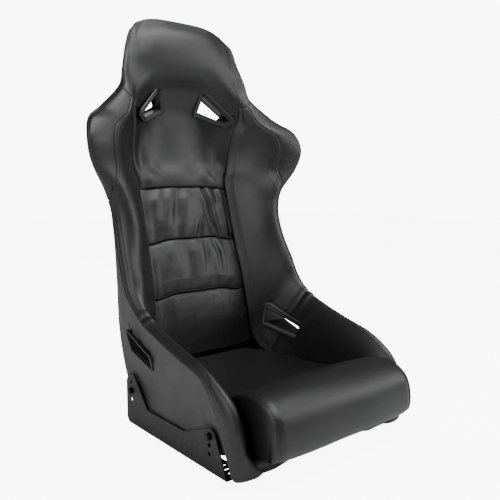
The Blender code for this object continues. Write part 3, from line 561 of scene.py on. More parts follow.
def crease(x, z, path, width, depth, lip=0.5):
    """A fold along a path in (x, z), fading at its ends, with a soft lip on each side."""
    path = np.array(path, float)
    best = np.full(x.shape, 1e9)
    share = np.zeros(x.shape)
    total = max(len(path) - 1, 1)
    for k, (start, end) in enumerate(zip(path, path[1:])):
        along = end - start
        t = ((x - start[0]) * along[0] + (z - start[1]) * along[1]) / (along @ along)
        t = np.clip(t, 0, 1)
        away = np.hypot(x - start[0] - along[0] * t, z - start[1] - along[1] * t)
        nearer = away < best
        best = np.where(nearer, away, best)
        share = np.where(nearer, (k + t) / total, share)
    fade = np.sin(np.pi * np.clip(share * 0.84 + 0.08, 0, 1)) ** 0.7
    valley = -np.exp(-(best / width) ** 2)
    ridge = lip * np.exp(-((best - 2.2 * width) / (1.3 * width)) ** 2)
    return depth * fade * (valley + ridge)


def waves(points, size, amount, seed):
    """Smooth unevenness of about that size, in millimetres."""
    random = np.random.default_rng(seed)
    total = np.zeros(points.shape[:-1])
    for _ in range(9):
        direction = unit(random.normal(size=3)) * random.uniform(0.6, 1.5) * 2 * math.pi / size
        total += np.sin(points @ direction + random.uniform(0, 2 * math.pi))
    return total * amount / 3


def on_skin(u, v):
    """Points and normals of the pads' skin."""
    return loft(SKIN, u, v), facing(SKIN, u, v)


def mirrored_steps(reach, count):
    """Steps from -reach to reach, with one of them at 0."""
    half = np.linspace(0, reach, count + 1)
    return np.concatenate([-half[::-1], half[1:]])


# ---------------------------------------------------------------- bezels of the belt slots
# Four corners of each face bezel, for the side at +X, and the lap slots' shift to the rear bezel.

SHOULDER_FACE = [(63, 266, 767), (45, 286, 706), (116, 265, 680), (140, 250, 698)]
LAP_FACE = [(177, 139, 226), (166, 141, 168), (193, 50, 138), (199, 42, 178)]
LAP_SHIFT = [(56, 0, 0), (58, 0, 0), (31, 0, 0), (32, 0, 0)]
TUNNEL_RISE = 0.26           # a shoulder tunnel's climb towards the back
REAR_STAND = 3.0             # how far behind the shell's middle face a rear bezel is set
BEZEL_CORNER = 11.0          # radius
BEZEL_ARC = 8                # chords in each rounded corner
BEZEL_SILL = 4.0             # height of the outer edge above the cover
BEZEL_LAP = 1.11             # size of a face bezel's outline over that of its slot
BEZEL_WALL = 1.4
TUNNEL_LAP = 7.0             # added to a tunnel's length, to reach into the rear bezel
SHORT = 7.0                  # taken off it, for the depth of the frame
# steps in from the outline, as (inset, rise): shoulder, outer land, groove, inner land, lip
BROAD = ((0.5, 0.9), (0.9, 0.9), (1.2, 0.4), (3.6, 0.0), (0.6, -1.0), (0.8, 0.0),
         (0.6, 0.9), (2.6, 0.0), (0.9, -0.5), (0.6, -1.0))
NARROW = ((0.5, 0.9), (0.9, 0.8), (3.0, 0.2), (0.8, -0.3), (0.6, -0.8))


def shell_behind(corner, sign):
    """Where a line straight back from a corner, and a little up, comes out of the shell."""
    u, v = np.meshgrid(np.linspace(0.1, 2.4, 90), np.linspace(13.5, 18.5, 160), indexing="ij")
    wall = loft(SHELL, u, v).reshape(-1, 3) * np.array([sign, 1, 1])
    along = np.array([0.0, 1.0, TUNNEL_RISE]) / math.hypot(1.0, TUNNEL_RISE)
    start = np.array(tuple(corner))
    ahead = (wall - start) @ along
    away = np.linalg.norm(wall - start - ahead[:, None] * along, axis=1)
    return Vector(start + along * (ahead[np.argmin(away)] + REAR_STAND))


def mirrored(corners, sign):
    return [Vector((sign * x, y, z)) for x, y, z in corners]


def slot_frames():
    """For each slot: its side, kind, face corners, rear corners and the unit axis out of the face."""
    made = []
    for side, sign in SIDES:
        shoulder = mirrored(SHOULDER_FACE, sign)
        lap = mirrored(LAP_FACE, sign)
        shoulder_rear = [shell_behind(corner, sign) for corner in shoulder]
        lap_rear = [corner + shift for corner, shift in zip(lap, mirrored(LAP_SHIFT, sign))]
        for kind, front, back in (("shoulder", shoulder, shoulder_rear), ("lap", lap, lap_rear)):
            moves = [rear - corner for rear, corner in zip(back, front)]
            axis = -sum(moves, Vector((0, 0, 0))).normalized()
            made.append((side, kind, front, back, axis))
    return made


SLOTS = slot_frames()


def in_slot(points, corners, axis, margin, reach):
    """Which points lie over a slot's outline, drawn in by a margin, and near its plane."""
    axis = np.array(axis)
    corners = np.array([tuple(c) for c in corners])
    middle = corners.mean(axis=0)
    first = unit(corners[0] - middle - axis * ((corners[0] - middle) @ axis))
    second = np.cross(axis, first)
    flat = np.stack([(corners - middle) @ first, (corners - middle) @ second], axis=-1)
    x = (points - middle) @ first
    y = (points - middle) @ second
    inside = np.abs((points - middle) @ axis) < reach
    for k in range(4):
        a, b = flat[k], flat[(k + 1) % 4]
        along = unit(b - a)
        away = along[0] * (y - a[1]) - along[1] * (x - a[0])
        centre = along[0] * (0 - a[1]) - along[1] * (0 - a[0])
        inside &= away * np.sign(centre) > margin
    return inside


def clear_of_slots(points, rear=False, kinds=("shoulder", "lap"), margin=5.0, reach=26.0):
    """Which cells of a grid stay once the belt slots are cut out of it."""
    cells = (points[:-1, :-1] + points[1:, :-1] + points[:-1, 1:] + points[1:, 1:]) / 4
    keep = np.ones(cells.shape[:2], bool)
    for _, kind, front, back, axis in SLOTS:
        if kind in kinds:
            keep &= ~in_slot(cells, back if rear else front, axis, margin, reach)
    return keep


def settle(item):
    """Turns an item's own modifiers into its mesh."""
    bpy.ops.object.select_all(action="DESELECT")
    item.select_set(True)
    bpy.context.view_layer.objects.active = item
    for modifier in list(item.modifiers):
        bpy.ops.object.modifier_apply(modifier=modifier.name)


def rounded(corners, radius):
    """The outline through four corners, each rounded, and the corner that each point belongs to."""
    points = []
    owners = []
    for k, corner in enumerate(corners):
        before = (corners[k - 1] - corner).normalized()
        after = (corners[(k + 1) % 4] - corner).normalized()
        half = before.angle(after) / 2
        start = corner + before * (radius / math.tan(half))
        end = corner + after * (radius / math.tan(half))
        centre = corner + (before + after).normalized() * (radius / math.sin(half))
        for step in range(BEZEL_ARC + 1):
            chord = start.lerp(end, step / BEZEL_ARC) - centre
            points.append(centre + chord.normalized() * radius)
            owners.append(k)
    return points, owners


def drape(item, corners, axis, surface):
    """Lays a bezel's frame on a curved surface; what lies deeper than the frame keeps its place."""
    axis = np.array(axis)
    middle = np.array([tuple(c) for c in corners]).mean(axis=0)
    level = (surface - middle) @ axis
    flat = surface - middle - level[:, None] * axis
    near = (np.linalg.norm(surface - middle, axis=1) < 110) & (np.abs(level) < 24)
    level, flat = level[near], flat[near]
    for vertex in item.data.vertices:
        spot = np.array(vertex.co / MM) - np.array([0, ORIGIN_Y, 0]) - middle
        height = spot @ axis
        away = np.linalg.norm(flat - (spot - height * axis), axis=1)
        nearest = np.argpartition(away, 6)[:6]
        weight = 1 / (away[nearest] + 0.5) ** 2
        rise = np.clip((level[nearest] @ weight) / weight.sum(), -9, 9)
        share = min(max((height + 14) / 8, 0), 1)
        vertex.co += Vector(axis * float(rise) * share) * MM


def bezel(name, corners, axis, profile, shifts=None):
    """A moulded bezel: a frame round a slot, and the tunnel behind it."""
    outline, owners = rounded(corners, BEZEL_CORNER)
    bpy.ops.object.select_all(action="DESELECT")
    bpy.ops.mesh.primitive_circle_add(vertices=len(outline), radius=0.05, fill_type="NGON")
    item = bpy.context.object
    item.name = name
    for vertex, spot in zip(item.data.vertices, outline):
        vertex.co = (spot + Vector((0, ORIGIN_Y, 0))) * MM
    bpy.ops.object.mode_set(mode="EDIT")
    bpy.ops.mesh.select_mode(type="EDGE")
    bpy.ops.mesh.select_all(action="SELECT")
    mesh = bmesh.from_edit_mesh(item.data)
    mesh.normal_update()
    mesh.faces.ensure_lookup_table()
    if mesh.faces[0].normal.dot(axis) < 0:
        bpy.ops.mesh.flip_normals()
    bpy.ops.transform.translate(value=axis * BEZEL_SILL * MM)
    for inset, rise in profile:
        bpy.ops.mesh.inset(thickness=inset * MM, depth=rise * MM)
    bpy.ops.mesh.extrude_region_move(TRANSFORM_OT_translate={"value": axis * -3 * MM})
    if shifts is not None:
        bpy.ops.mesh.extrude_region_move(TRANSFORM_OT_translate={"value": axis * -1 * MM})
        mesh = bmesh.from_edit_mesh(item.data)
        for vertex in mesh.verts:
            if vertex.select:
                spot = vertex.co / MM - Vector((0, ORIGIN_Y, 0))
                nearest = min(range(len(outline)), key=lambda k: (outline[k] - spot).length)
                shift = shifts[owners[nearest]]
                vertex.co += (shift.normalized() * (shift.length - SHORT)) * MM
        bmesh.update_edit_mesh(item.data)
    bpy.ops.mesh.delete(type="ONLY_FACE")
    # the outer wall, down into the cover
    bpy.ops.mesh.select_all(action="DESELECT")
    mesh = bmesh.from_edit_mesh(item.data)
    outer = [spot + axis * BEZEL_SILL for spot in outline]
    for edge in mesh.edges:
        if len(edge.link_faces) == 1:
            ends = [end.co / MM - Vector((0, ORIGIN_Y, 0)) for end in edge.verts]
            if all(min((spot - end).length for spot in outer) < 0.05 for end in ends):
                edge.select_set(True)
    bmesh.update_edit_mesh(item.data)
    bpy.ops.mesh.extrude_edges_move(TRANSFORM_OT_translate={"value": axis * -6 * MM})
    bpy.ops.mesh.select_all(action="SELECT")
    bpy.ops.mesh.normals_make_consistent(inside=False)
    bpy.ops.object.mode_set(mode="OBJECT")
    top = max(item.data.polygons, key=lambda face: face.center.dot(axis))
    if top.normal.dot(axis) < 0:
        item.data.flip_normals()
    solid = item.modifiers.new("wall", "SOLIDIFY")
    solid.thickness = BEZEL_WALL * MM
    solid.offset = -1.0
    settle(item)
    return item


def samples(curves, low_u, high_u, low_v, high_v, sign):
    """Points spread over a stretch of a lofted surface, on one side of the seat."""
    u, v = np.meshgrid(np.linspace(low_u, high_u, 90), np.linspace(low_v, high_v, 130))
    return loft(curves, u, v).reshape(-1, 3) * np.array([sign, 1, 1])


def grown(corners):
    """A face's corners, moved outward so that its bezel laps onto the cover."""
    middle = sum(corners, Vector((0, 0, 0))) / len(corners)
    return [middle + (corner - middle) * BEZEL_LAP for corner in corners]


def make_bezels():
    """A face bezel with its tunnel, and a rear bezel, for each of the four slots."""
    for side, kind, front, back, axis in SLOTS:
        sign = dict(SIDES)[side]
        cad = side + "_" + kind + "_bezel_"
        shifts = [rear - face - axis * TUNNEL_LAP for rear, face in zip(back, front)]
        if kind == "shoulder":
            wall = samples(SHELL, 0.1, 2.3, 14.4, 18.4, sign)
        else:
            wall = samples(SHELL, 1.4, 2.95, 4.6, 8.6, sign)
        inner = bezel(side + "_" + kind + "_bezel_face", grown(front), axis, BROAD, shifts)
        drape(inner, front, axis, np.concatenate(COVERS[side]))
        finish_piece(inner, PLASTIC, FIXED, [cad + "inner"], sharp=40)
        outer = bezel(side + "_" + kind + "_bezel_rear", back, -axis,
                      BROAD if kind == "shoulder" else NARROW)
        drape(outer, back, -axis, wall - np.array(axis) * SHELL_WALL / 2)
        finish_piece(outer, PLASTIC, FIXED, [cad + "outer"], sharp=40)


# ---------------------------------------------------------------- shell

def make_shell():
    """The shell, with the belt slots cut out of it."""
    u, v = mirrored_steps(3, 42), np.linspace(LIP, TOP, 190)
    grid_u, grid_v = np.meshgrid(u, v, indexing="ij")
    points = loft(SHELL, grid_u, grid_v)
    normals = facing(SHELL, grid_u, grid_v)
    points = points + normals * SHELL_WALL / 2
    keep = clear_of_slots(points, rear=True, kinds=("shoulder",), margin=5.5)
    keep &= clear_of_slots(points, rear=True, kinds=("lap",), margin=2.5)
    verts, faces = sheet_mesh(points, SHELL_WALL, keep)
    new_piece("shell_laminate", verts, faces, LAMINATE, FIXED, ["shell"], sharp=60)


# ---------------------------------------------------------------- pads fixed to the shell

STITCHES = {FIXED: [], SEAT: [], BACK: []}       # the lines of stitches on each body
COVERS = {"left": [], "right": []}              # points of the covers that the bezels lie on
SEAM_LINE = 8.5                                 # from a seam to the row of stitches beside it
HEM_LINES = (10.0, 20.0)                        # from a thigh bolster's hem to its two rows
BACK_LINE = 19.0                                # from a back bolster's hem to its second row
WING_LINE = 13.0                                # from a wing's edge to its row
FRONT_END = LIP + 0.06                          # where the thigh bolsters' covers begin


def stitch(body, line):
    """Notes a line along which stitches are sewn."""
    STITCHES[body].append(line)


def cap(points, target, bulge, count=7):
    """Rows that close a grid's first row down onto a target row."""
    outward = unit(points[:, 0] - points[:, 2])
    rows = []
    for k in range(1, count + 1):
        share = k / count
        rows.append(points[:, 0] * (1 - share) + target * share
                    + outward * bulge * math.sin(math.pi * share) ** 0.7)
    rows = np.stack(rows[::-1], axis=1)
    return np.concatenate([rows, points], axis=1)


def underlay(u, v):
    """The shell's inner side below each place on the skin."""
    share = np.interp(np.abs(u), [0, 1.98, 2.5, 4.5, 6], [0, 1.2, 2.0, 2.8, 3.0]) * np.sign(u)
    return loft(SHELL, share, v) + facing(SHELL, share, v) * (SHELL_WALL / 2 + 1)


def clustered(count):
    """0 to 1 in steps that are finer near both ends, where the seams run."""
    even = np.linspace(0, 1, count + 1)
    return 0.6 * 0.5 * (1 - np.cos(math.pi * even)) + 0.4 * even


def spread(low, high, count):
    """Values from low to high, finer near both ends."""
    return low + (high - low) * clustered(count)


def one_side(sign, count):
    """Shares across a panel: 0 to 1 at +X, or -1 to 0 at -X."""
    return clustered(count) if sign > 0 else -clustered(count)[::-1]


def between(low, high):
    """The skin between two lines, each a function of v: s runs from 0 to 1, or from -1 to 0."""
    def surface(s, v):
        start, end = low(v), high(v)
        u = start + np.abs(s) * (end - start)
        return on_skin(np.where(s.min() < 0, -u, u), v)
    return surface


def at(value):
    """A line that keeps to one place across."""
    return lambda v: np.full_like(v, value)


def wing_seam(v):
    """Where the wings' outer panels begin: along the crest, running out at the edge below."""
    return CREST + (EDGE - CREST) * np.clip((13.2 - v) / 1.6, 0, 1) ** 2


def soften(panel, rounds, swell):
    """Rounds a panel's ridges across its width, and pushes them back out by the loss."""
    points = panel.points
    for _ in range(rounds):
        points = points.copy()
        points[1:-1] = (points[:-2] + 2 * points[1:-1] + points[2:]) / 4
    panel.points = points
    panel.normals = grid_normals(points)
    moved = np.clip(np.minimum(panel.left, panel.right) / 25, 0, 1)
    panel.points = points + panel.normals * (swell * moved)[..., None]
    panel.measure()


def sides_of(panel, sign):
    """The panel's distances from its inner seam and from its outer edge."""
    return (panel.left, panel.right) if sign > 0 else (panel.right, panel.left)


def outer_side(sign):
    """Which of the panel's sides lies along the seat's outer edge."""
    return "right" if sign > 0 else "left"


def stitched(distance, at_distance=SEAM_LINE, depth=0.55):
    """The shallow valley that a row of stitches pulls down."""
    return -depth * np.exp(-((distance - at_distance) / 1.4) ** 2)


def hem(distance):
    """The turned hem along a cover's outer edge, over the shell's rim."""
    return seam_roll(distance, 1.6, 4.0)


def hip_share(s):
    """How plainly the hip seam shows: a raised fold outside, flat towards the valley."""
    return 0.2 + 0.8 * np.clip((np.abs(s) - 0.35) / 0.25, 0, 1)


def make_thigh_bolster(side, sign):
    """The cover of the pad beside the thigh, closed round its front end."""
    surface = between(at(VALLEY), at(EDGE))
    across = one_side(sign, 78)
    panel = Panel(surface, across, spread(FRONT_END, HIP, 120))
    soften(panel, 100, 3.0)
    seam, outer = sides_of(panel, sign)
    over = hip_share(panel.u)
    height = seam_roll(seam, 1.5, 6) + hem(outer) + seam_roll(panel.high, 2.4, 5) * over
    height += waves(panel.points, 130, 0.22, 11)
    # the cover draws up a little where it is pulled over the hip
    height += 1.8 * np.exp(-((panel.high - 11) / 7) ** 2) * over
    height += stitched(outer, HEM_LINES[0]) + stitched(outer, HEM_LINES[1])
    panel.push(height)
    for distance in HEM_LINES:
        stitch(FIXED, panel.line(outer_side(sign), distance))
    u = VALLEY + np.abs(across) * (EDGE - VALLEY)
    points = cap(panel.points, underlay(u * sign, FRONT_END), 7.0)
    COVERS[side].append(panel.points[:, 12:].reshape(-1, 3))
    new_cover(side + "_thigh_bolster", points, FIXED,
              [side + "_thigh_bolster_cover", side + "_thigh_bolster_foam"],
              clear_of_slots(points, kinds=("lap",)))


def make_back_bolster(side, sign):
    """The back bolster and the wing's inner panel, which are cut in one piece."""
    surface = between(at(VALLEY), wing_seam)
    panel = Panel(surface, one_side(sign, 72), spread(HIP, NECK, 230))
    soften(panel, 100, 3.0)
    seam, outer = sides_of(panel, sign)
    over = hip_share(panel.u)
    height = seam_roll(seam, 1.5, 6) + hem(outer) + seam_roll(panel.low, 2.0, 5) * over
    height += seam_roll(panel.high, 1.6, 5)
    height += waves(panel.points, 150, 0.25, 23)
    height += 1.3 * np.exp(-((panel.low - 11) / 7) ** 2) * over
    height += stitched(outer)
    below = 1 / (1 + np.exp((panel.v - 11.3) * 6))
    height += stitched(outer, BACK_LINE) * below
    panel.push(height)
    stitch(FIXED, panel.line(outer_side(sign), SEAM_LINE))
    stitch(FIXED, panel.line(outer_side(sign), BACK_LINE, 0.0, 0.5))
    COVERS[side].append(panel.points.reshape(-1, 3))
    new_cover(side + "_back_bolster", panel.points, FIXED,
              [side + "_back_bolster_cover", side + "_back_bolster_foam",
               side + "_wing_inner_cover", side + "_wing_foam"],
              clear_of_slots(panel.points, kinds=("lap",)))


def make_wing(side, sign):
    """The wing's outer panel, which runs out in a point at its lower end."""
    surface = between(wing_seam, at(EDGE))
    panel = Panel(surface, one_side(sign, 46), spread(11.66, NECK, 150))
    soften(panel, 4, 0.4)
    seam, outer = sides_of(panel, sign)
    height = seam_roll(seam, 1.4, 4) + hem(outer) + seam_roll(panel.high, 1.6, 5)
    height += waves(panel.points, 130, 0.25, 41)
    low_part = 1 / (1 + np.exp((panel.v - 14.9) * 7))
    height += stitched(outer, WING_LINE, 1.0) * low_part
    panel.push(height)
    stitch(FIXED, panel.line(outer_side(sign), WING_LINE, 0.12, 0.6))
    new_cover(side + "_wing_outer_panel", panel.points, FIXED, [side + "_wing_outer_cover"])


UPPER_BACK_FOLDS = (
    # path in x and z, width, depth
    ([(-119, 650), (-117, 600), (-110, 556)], 13, 3.0),
    ([(-108, 562), (-70, 545)], 11, 1.4),
    ([(119, 650), (117, 600), (108, 554)], 13, 2.6),
    ([(76, 580), (104, 538)], 11, 2.0),
)


def make_head():
    """The head pad and the upper back panel, which are cut in one piece."""
    outside = spread(VALLEY, EDGE, 44)[1:]
    inside = spread(-VALLEY, VALLEY, 96)
    u = np.concatenate([-outside[::-1], inside, outside])
    neck = 96
    v = np.concatenate([spread(WING_LOW, NECK, neck), spread(NECK, TOP, 76)[1:]])
    panel = Panel(on_skin, u, v)
    first, last = len(outside), len(outside) + len(inside) - 1
    from_seam = np.minimum(np.abs(panel.left - panel.left[first]),
                           np.abs(panel.left - panel.left[last]))
    from_neck = np.abs(panel.low - panel.low[:, neck:neck + 1])
    within = np.abs(panel.u) <= VALLEY + 1e-6
    below = panel.v <= NECK + 1e-6
    outer = np.minimum(panel.left, panel.right)
    x, z = panel.points[..., 0], panel.points[..., 2]
    height = waves(panel.points, 150, 0.3, 53)
    back = within & below
    head_side = ~within & ~below
    height += np.where(back, seam_roll(from_seam, 2.6, 9) * np.clip(from_neck / 14, 0, 1), 0)
    height += np.where(head_side, seam_roll(from_neck, 1.6, 5) + hem(outer), 0)
    height += np.where(head_side, stitched(outer) * np.clip(from_neck / 40, 0, 1), 0)
    # the lower edge of the upper back panel stands proud and curls under over the cushion
    swell = 9.5 * np.exp(-((panel.low - 22) / 26) ** 2) + 2.5 * np.exp(-(panel.low / 14) ** 2)
    height += np.where(back, swell * np.clip(from_seam / 34, 0, 1) ** 0.55, 0)
    for path, width, depth in UPPER_BACK_FOLDS:
        height += np.where(back, crease(x, z, path, width, depth, 0.7), 0)
    panel.push(height)
    for covers in COVERS.values():
        covers.append(panel.points.reshape(-1, 3))
    for side in COVERS:
        stitch(FIXED, panel.line(side, SEAM_LINE, 0.60, 1.0))
    points, _ = skirt(panel.points, panel.normals, "low", 9.0, 22.0)
    added = points.shape[1] - panel.points.shape[1]
    # over the top the cover wraps back onto the shell
    rear = loft(SHELL, np.clip(u / 2, -2.9, 2.9), TOP) + np.array([0.0, 2.0, 0.0])
    points = cap(points[:, ::-1], rear, 3.5, 9)[:, ::-1]
    cells_u = (u[:-1] + u[1:]) / 2
    shown = np.ones((points.shape[0] - 1, points.shape[1] - 1), bool)
    shown[np.abs(cells_u) > VALLEY, :added + neck] = False
    new_cover("head_and_upper_back", points, FIXED, ["head_cover", "head_foam", "upper_back_foam"],
              clear_of_slots(points, kinds=("shoulder",)) & shown)


WRAP_TOP = 44.0
WRAP_BOTTOM = 22.0          # of the wrap's middle stretch
WRAP_DROP = 16.0            # how much lower it hangs towards its ends
WRAP_LEAN = 16.0            # how much further forward its ends stand
WRAP_HALF_DEPTH = 8.0
WRAP_SIDES = 20


def make_front_lip():
    """The leathercloth wrapped round the front lip of the pan, under the cushion."""
    centre = loft(SHELL, mirrored_steps(1.95, 40), 0.35)
    share = np.clip((np.abs(centre[:, X]) - 70) / 130, 0, 1)
    verts = []
    for (x, y, _), wide in zip(centre, share):
        bottom = WRAP_BOTTOM - WRAP_DROP * min(1.0, 2 * wide)
        tall = (WRAP_TOP - bottom) / 2
        middle = np.array([x, y - 6 - WRAP_LEAN * wide, bottom + tall])
        forward = np.array([0.0, -WRAP_HALF_DEPTH * (1 + wide), 0.0])
        verts += ring_points(middle, 1.0, np.array([0.0, 0.0, tall]), forward, WRAP_SIDES)
    new_piece("front_lip_wrap", verts, ring_faces(len(centre), WRAP_SIDES), LEATHER, FIXED)


# ---------------------------------------------------------------- back cushion

BACK_LOW, BACK_HIGH = 8.03, 11.97
BACK_SEAMS = (9.57, 10.87)
BACK_REACH = 1.93
CROSS_LINE = 4.0            # from a cross seam to the stitches beside it
BACK_SECTIONS = (
    # name, low, high, puff, folds as (path in x and z, width, depth)
    ("lower", BACK_LOW, BACK_SEAMS[0], 3.0, []),
    ("middle", BACK_SEAMS[0], BACK_SEAMS[1], 7.5,
     [([(36, 386), (34, 360), (31, 332)], 6, 2.6),
      ([(64, 386), (72, 352), (70, 312)], 6, 2.8),
      ([(-17, 376), (-24, 345), (-31, 302)], 14, 3.0),
      ([(-80, 380), (-92, 350)], 10, 1.0)]),
    ("upper", BACK_SEAMS[1], BACK_HIGH, 8.5,
     [([(57, 524), (63, 480), (67, 434), (80, 398)], 5, 6.5),
      ([(36, 442), (22, 400)], 6, 3.6),
      ([(-16, 522), (-30, 470), (-41, 412)], 12, 4.0),
      ([(-58, 522), (-76, 455)], 9, 3.0),
      ([(92, 522), (98, 478)], 7, 2.6),
      ([(-100, 440), (-108, 410)], 8, 1.2)]),
)


BACK_NODES = {
    "lower": ["back_cushion_cover_lower", "back_cushion_foam"],
    "middle": ["back_cushion_cover_middle"],
    "upper": ["back_cushion_cover_upper"],
}


def make_back_cushion():
    """Three sections, each pulled down to the cross seams between them."""
    for name, low, high, puff, folds in BACK_SECTIONS:
        panel = Panel(on_skin, spread(-BACK_REACH, BACK_REACH, 120), spread(low, high, 64))
        x, z = panel.points[..., 0], panel.points[..., 2]
        sides = np.minimum(panel.left, panel.right)
        ends = np.minimum(panel.low, panel.high)
        height = puff * np.clip(ends / 34, 0, 1) ** 0.45 * (1 - 0.35 * (panel.u / BACK_REACH) ** 6)
        height -= COVER
        height += seam_roll(ends, 2.0, 4) + seam_roll(sides, 3.0, 14) + stitched(ends, 6, 0.5)
        for path, width, depth in folds:
            height += crease(x, z, path, width, depth)
        height += waves(panel.points, 48, 0.6 if folds else 0.25, 67)
        if folds:
            # gathers, where the cover is pulled down to its cross seams
            gather = np.sin(x / 5.2 + 0.9 * np.sin(x / 19)) * np.exp(-ends / 15)
            height += 0.55 * gather * np.clip(ends / 4, 0, 1)
        panel.push(height)
        if name != "lower":
            stitch(BACK, panel.line("low", CROSS_LINE))
        if name != "upper":
            stitch(BACK, panel.line("high", CROSS_LINE))
        points, normals = skirt(panel.points, panel.normals, "left", 7.0, 24.0)
        points, normals = skirt(points, normals, "right", 7.0, 24.0)
        if name == "upper":
            points, _ = skirt(points, normals, "high", 6.0, 12.0)
        if name == "lower":
            points, _ = skirt(points, normals, "low", 6.0, 16.0)
        new_cover("back_cushion_" + name, points, BACK, BACK_NODES[name])


def make_tag():
    """A blank woven tag, folded over and sewn into the back cushion's side seam."""
    panel = Panel(on_skin, spread(1.84, 1.99, 6), spread(11.0, 11.72, 20))
    panel.push(4.0 + 1.6 * np.sin(panel.low / 6.5) * (panel.left / panel.left.max()))
    verts, faces = sheet_mesh(panel.points, 1.1)
    new_piece("blank_side_tag", verts, faces, TAPE, BACK, ["side_tag"])


# ---------------------------------------------------------------- seat cushion

# Side profile (y, z), from under the front roll over the top to the rear edge
CUSHION_PROFILE = np.array([
    (-272, 50), (-289, 55), (-298, 74), (-297, 104), (-288, 130), (-270, 148), (-245, 158),
    (-215, 160), (-185, 152), (-150, 136), (-110, 119), (-60, 106), (0, 100), (60, 100),
    (120, 103), (164, 107),
], float)
CUSHION_END = len(CUSHION_PROFILE) - 1
CUSHION_HALF = 186.0
CUSHION_REAR_HALF = 128.0
CUSHION_BASE = 58.0         # z of the underside
SIDE_ROWS = 22
SIDE_THICKNESS = 2.6
PIPING_RADIUS = 2.1


def cushion_half_width(y):
    """Half the cushion's width, which narrows towards the back."""
    share = np.clip(y, 0, None) / CUSHION_PROFILE[-1][0]
    return CUSHION_HALF - (CUSHION_HALF - CUSHION_REAR_HALF) * share ** 2.2


def cushion_top(u, v):
    """The cushion's top and front roll: u is -1 to 1 across, v runs along the profile."""
    flat = spline(CUSHION_PROFILE, v.reshape(-1)).reshape(v.shape + (2,))
    ahead = (spline(CUSHION_PROFILE, v.reshape(-1) + 0.05)
             - spline(CUSHION_PROFILE, v.reshape(-1) - 0.05)).reshape(v.shape + (2,))
    ahead = unit(ahead)
    points = np.stack([u * cushion_half_width(flat[..., 0]), flat[..., 0], flat[..., 1]], axis=-1)
    normals = np.stack([0 * u, -ahead[..., 1], ahead[..., 0]], axis=-1)
    return points, normals


def make_seat_cushion():
    """The cushion's top with its front roll, and a panel and piping down each side."""
    u = np.sin(mirrored_steps(math.pi / 2, 56))
    panel = Panel(cushion_top, u, np.linspace(0.0, CUSHION_END, 181))
    x, y = panel.points[..., 0], panel.points[..., 1]
    sides = np.minimum(panel.left, panel.right)
    crown = 2.2 * (1 - np.abs(panel.u) ** 4)
    height = crown - 5.0 * (1 - np.clip(sides / 17, 0, 1)) ** 2.2
    # a soft fold behind the front roll
    height += crease(x, y, [(-168, -176), (-60, -148), (60, -144), (150, -150)], 16, 2.4)
    height += crease(x, y, [(-176, -200), (-150, -172), (-110, -160)], 7, 1.4)
    height += waves(panel.points, 130, 0.6, 83)
    panel.push(height)
    points, _ = skirt(panel.points, panel.normals, "high", 8.0, 30.0)
    new_cover("seat_cushion_top", points, SEAT, ["seat_cushion_cover", "seat_cushion_foam"])
    for side, sign in SIDES:
        make_cushion_side(side, sign, panel.points[-1 if sign > 0 else 0])


def make_cushion_side(side, sign, edge):
    """The side panel under the top's edge, and the piping along it."""
    rows = []
    base_y = np.clip(edge[:, Y], -268, 160)
    base_z = np.interp(edge[:, Y], [-300, -262, -225], [50.0, 51.0, CUSHION_BASE])
    for k in range(SIDE_ROWS + 1):
        share = k / SIDE_ROWS
        row = edge.copy()
        row[:, Y] = edge[:, Y] * (1 - share ** 1.5) + base_y * share ** 1.5
        row[:, Z] = edge[:, Z] * (1 - share) + base_z * share
        bulge = 4.2 * math.sin(math.pi * share) ** 0.8 - 2.0 * share
        row[:, X] = edge[:, X] + sign * bulge
        rows.append(row)
    points = np.stack(rows[::-1], axis=0)[:, 2:]
    if sign < 0:
        points = points[:, ::-1]
    verts, faces = sheet_mesh(points, SIDE_THICKNESS)
    new_piece(side + "_seat_cushion_side_panel", verts, faces, LEATHER, SEAT,
              [side + "_seat_cushion_side"])
    cord = edge[3:].copy()
    cord[:, X] += sign * 0.6
    verts, faces = tube(cord, PIPING_RADIUS)
    new_piece(side + "_seat_cushion_piping", verts, faces, LEATHER, SEAT)


def tube(line, radius, sides=10):
    """A round cord along a line, closed at its ends."""
    along = unit(np.gradient(line, axis=0))
    lead = np.array([0.0, 0.0, 1.0])
    if abs(along[0] @ lead) > 0.9:
        lead = np.array([1.0, 0.0, 0.0])
    verts = []
    for spot, direction in zip(line, along):
        lead = unit(lead - direction * (lead @ direction))
        verts += ring_points(spot, radius, lead, np.cross(direction, lead), sides)
    return verts, ring_faces(len(line), sides)


# ---------------------------------------------------------------- stitches

STITCH_PITCH = 5.0
STITCH_LENGTH = 3.6
STITCH_RADIUS = 0.36
STITCH_SIDES = 5
STITCH_RINGS = ((0, 0.35), (0.2, 1.0), (0.8, 1.0), (1.0, 0.35))    # place along it, thickness


def make_stitches():
    """Every stitch on a body as one piece: short threads, thinner at their ends."""
    for body, lines in STITCHES.items():
        verts = []
        faces = []
        for line in lines:
            length = arc(line, 0)
            for start in np.arange(2, length[-1] - STITCH_LENGTH, STITCH_PITCH):
                marks = [start + STITCH_LENGTH * place for place, _ in STITCH_RINGS]
                spots = np.stack([np.interp(marks, length, line[:, axis]) for axis in range(3)],
                                 axis=-1)
                along = unit(spots[-1] - spots[0])
                lead = unit(np.cross(along, np.array([0.3, 0.8, 0.5])))
                other = np.cross(along, lead)
                faces += ring_faces(len(spots), STITCH_SIDES, len(verts))
                for spot, (_, thick) in zip(spots, STITCH_RINGS):
                    verts += ring_points(spot, STITCH_RADIUS * thick, lead, other, STITCH_SIDES)
        if verts:
            new_piece("stitching_" + body, verts, faces, THREAD, body)


# ---------------------------------------------------------------- carried-over solids

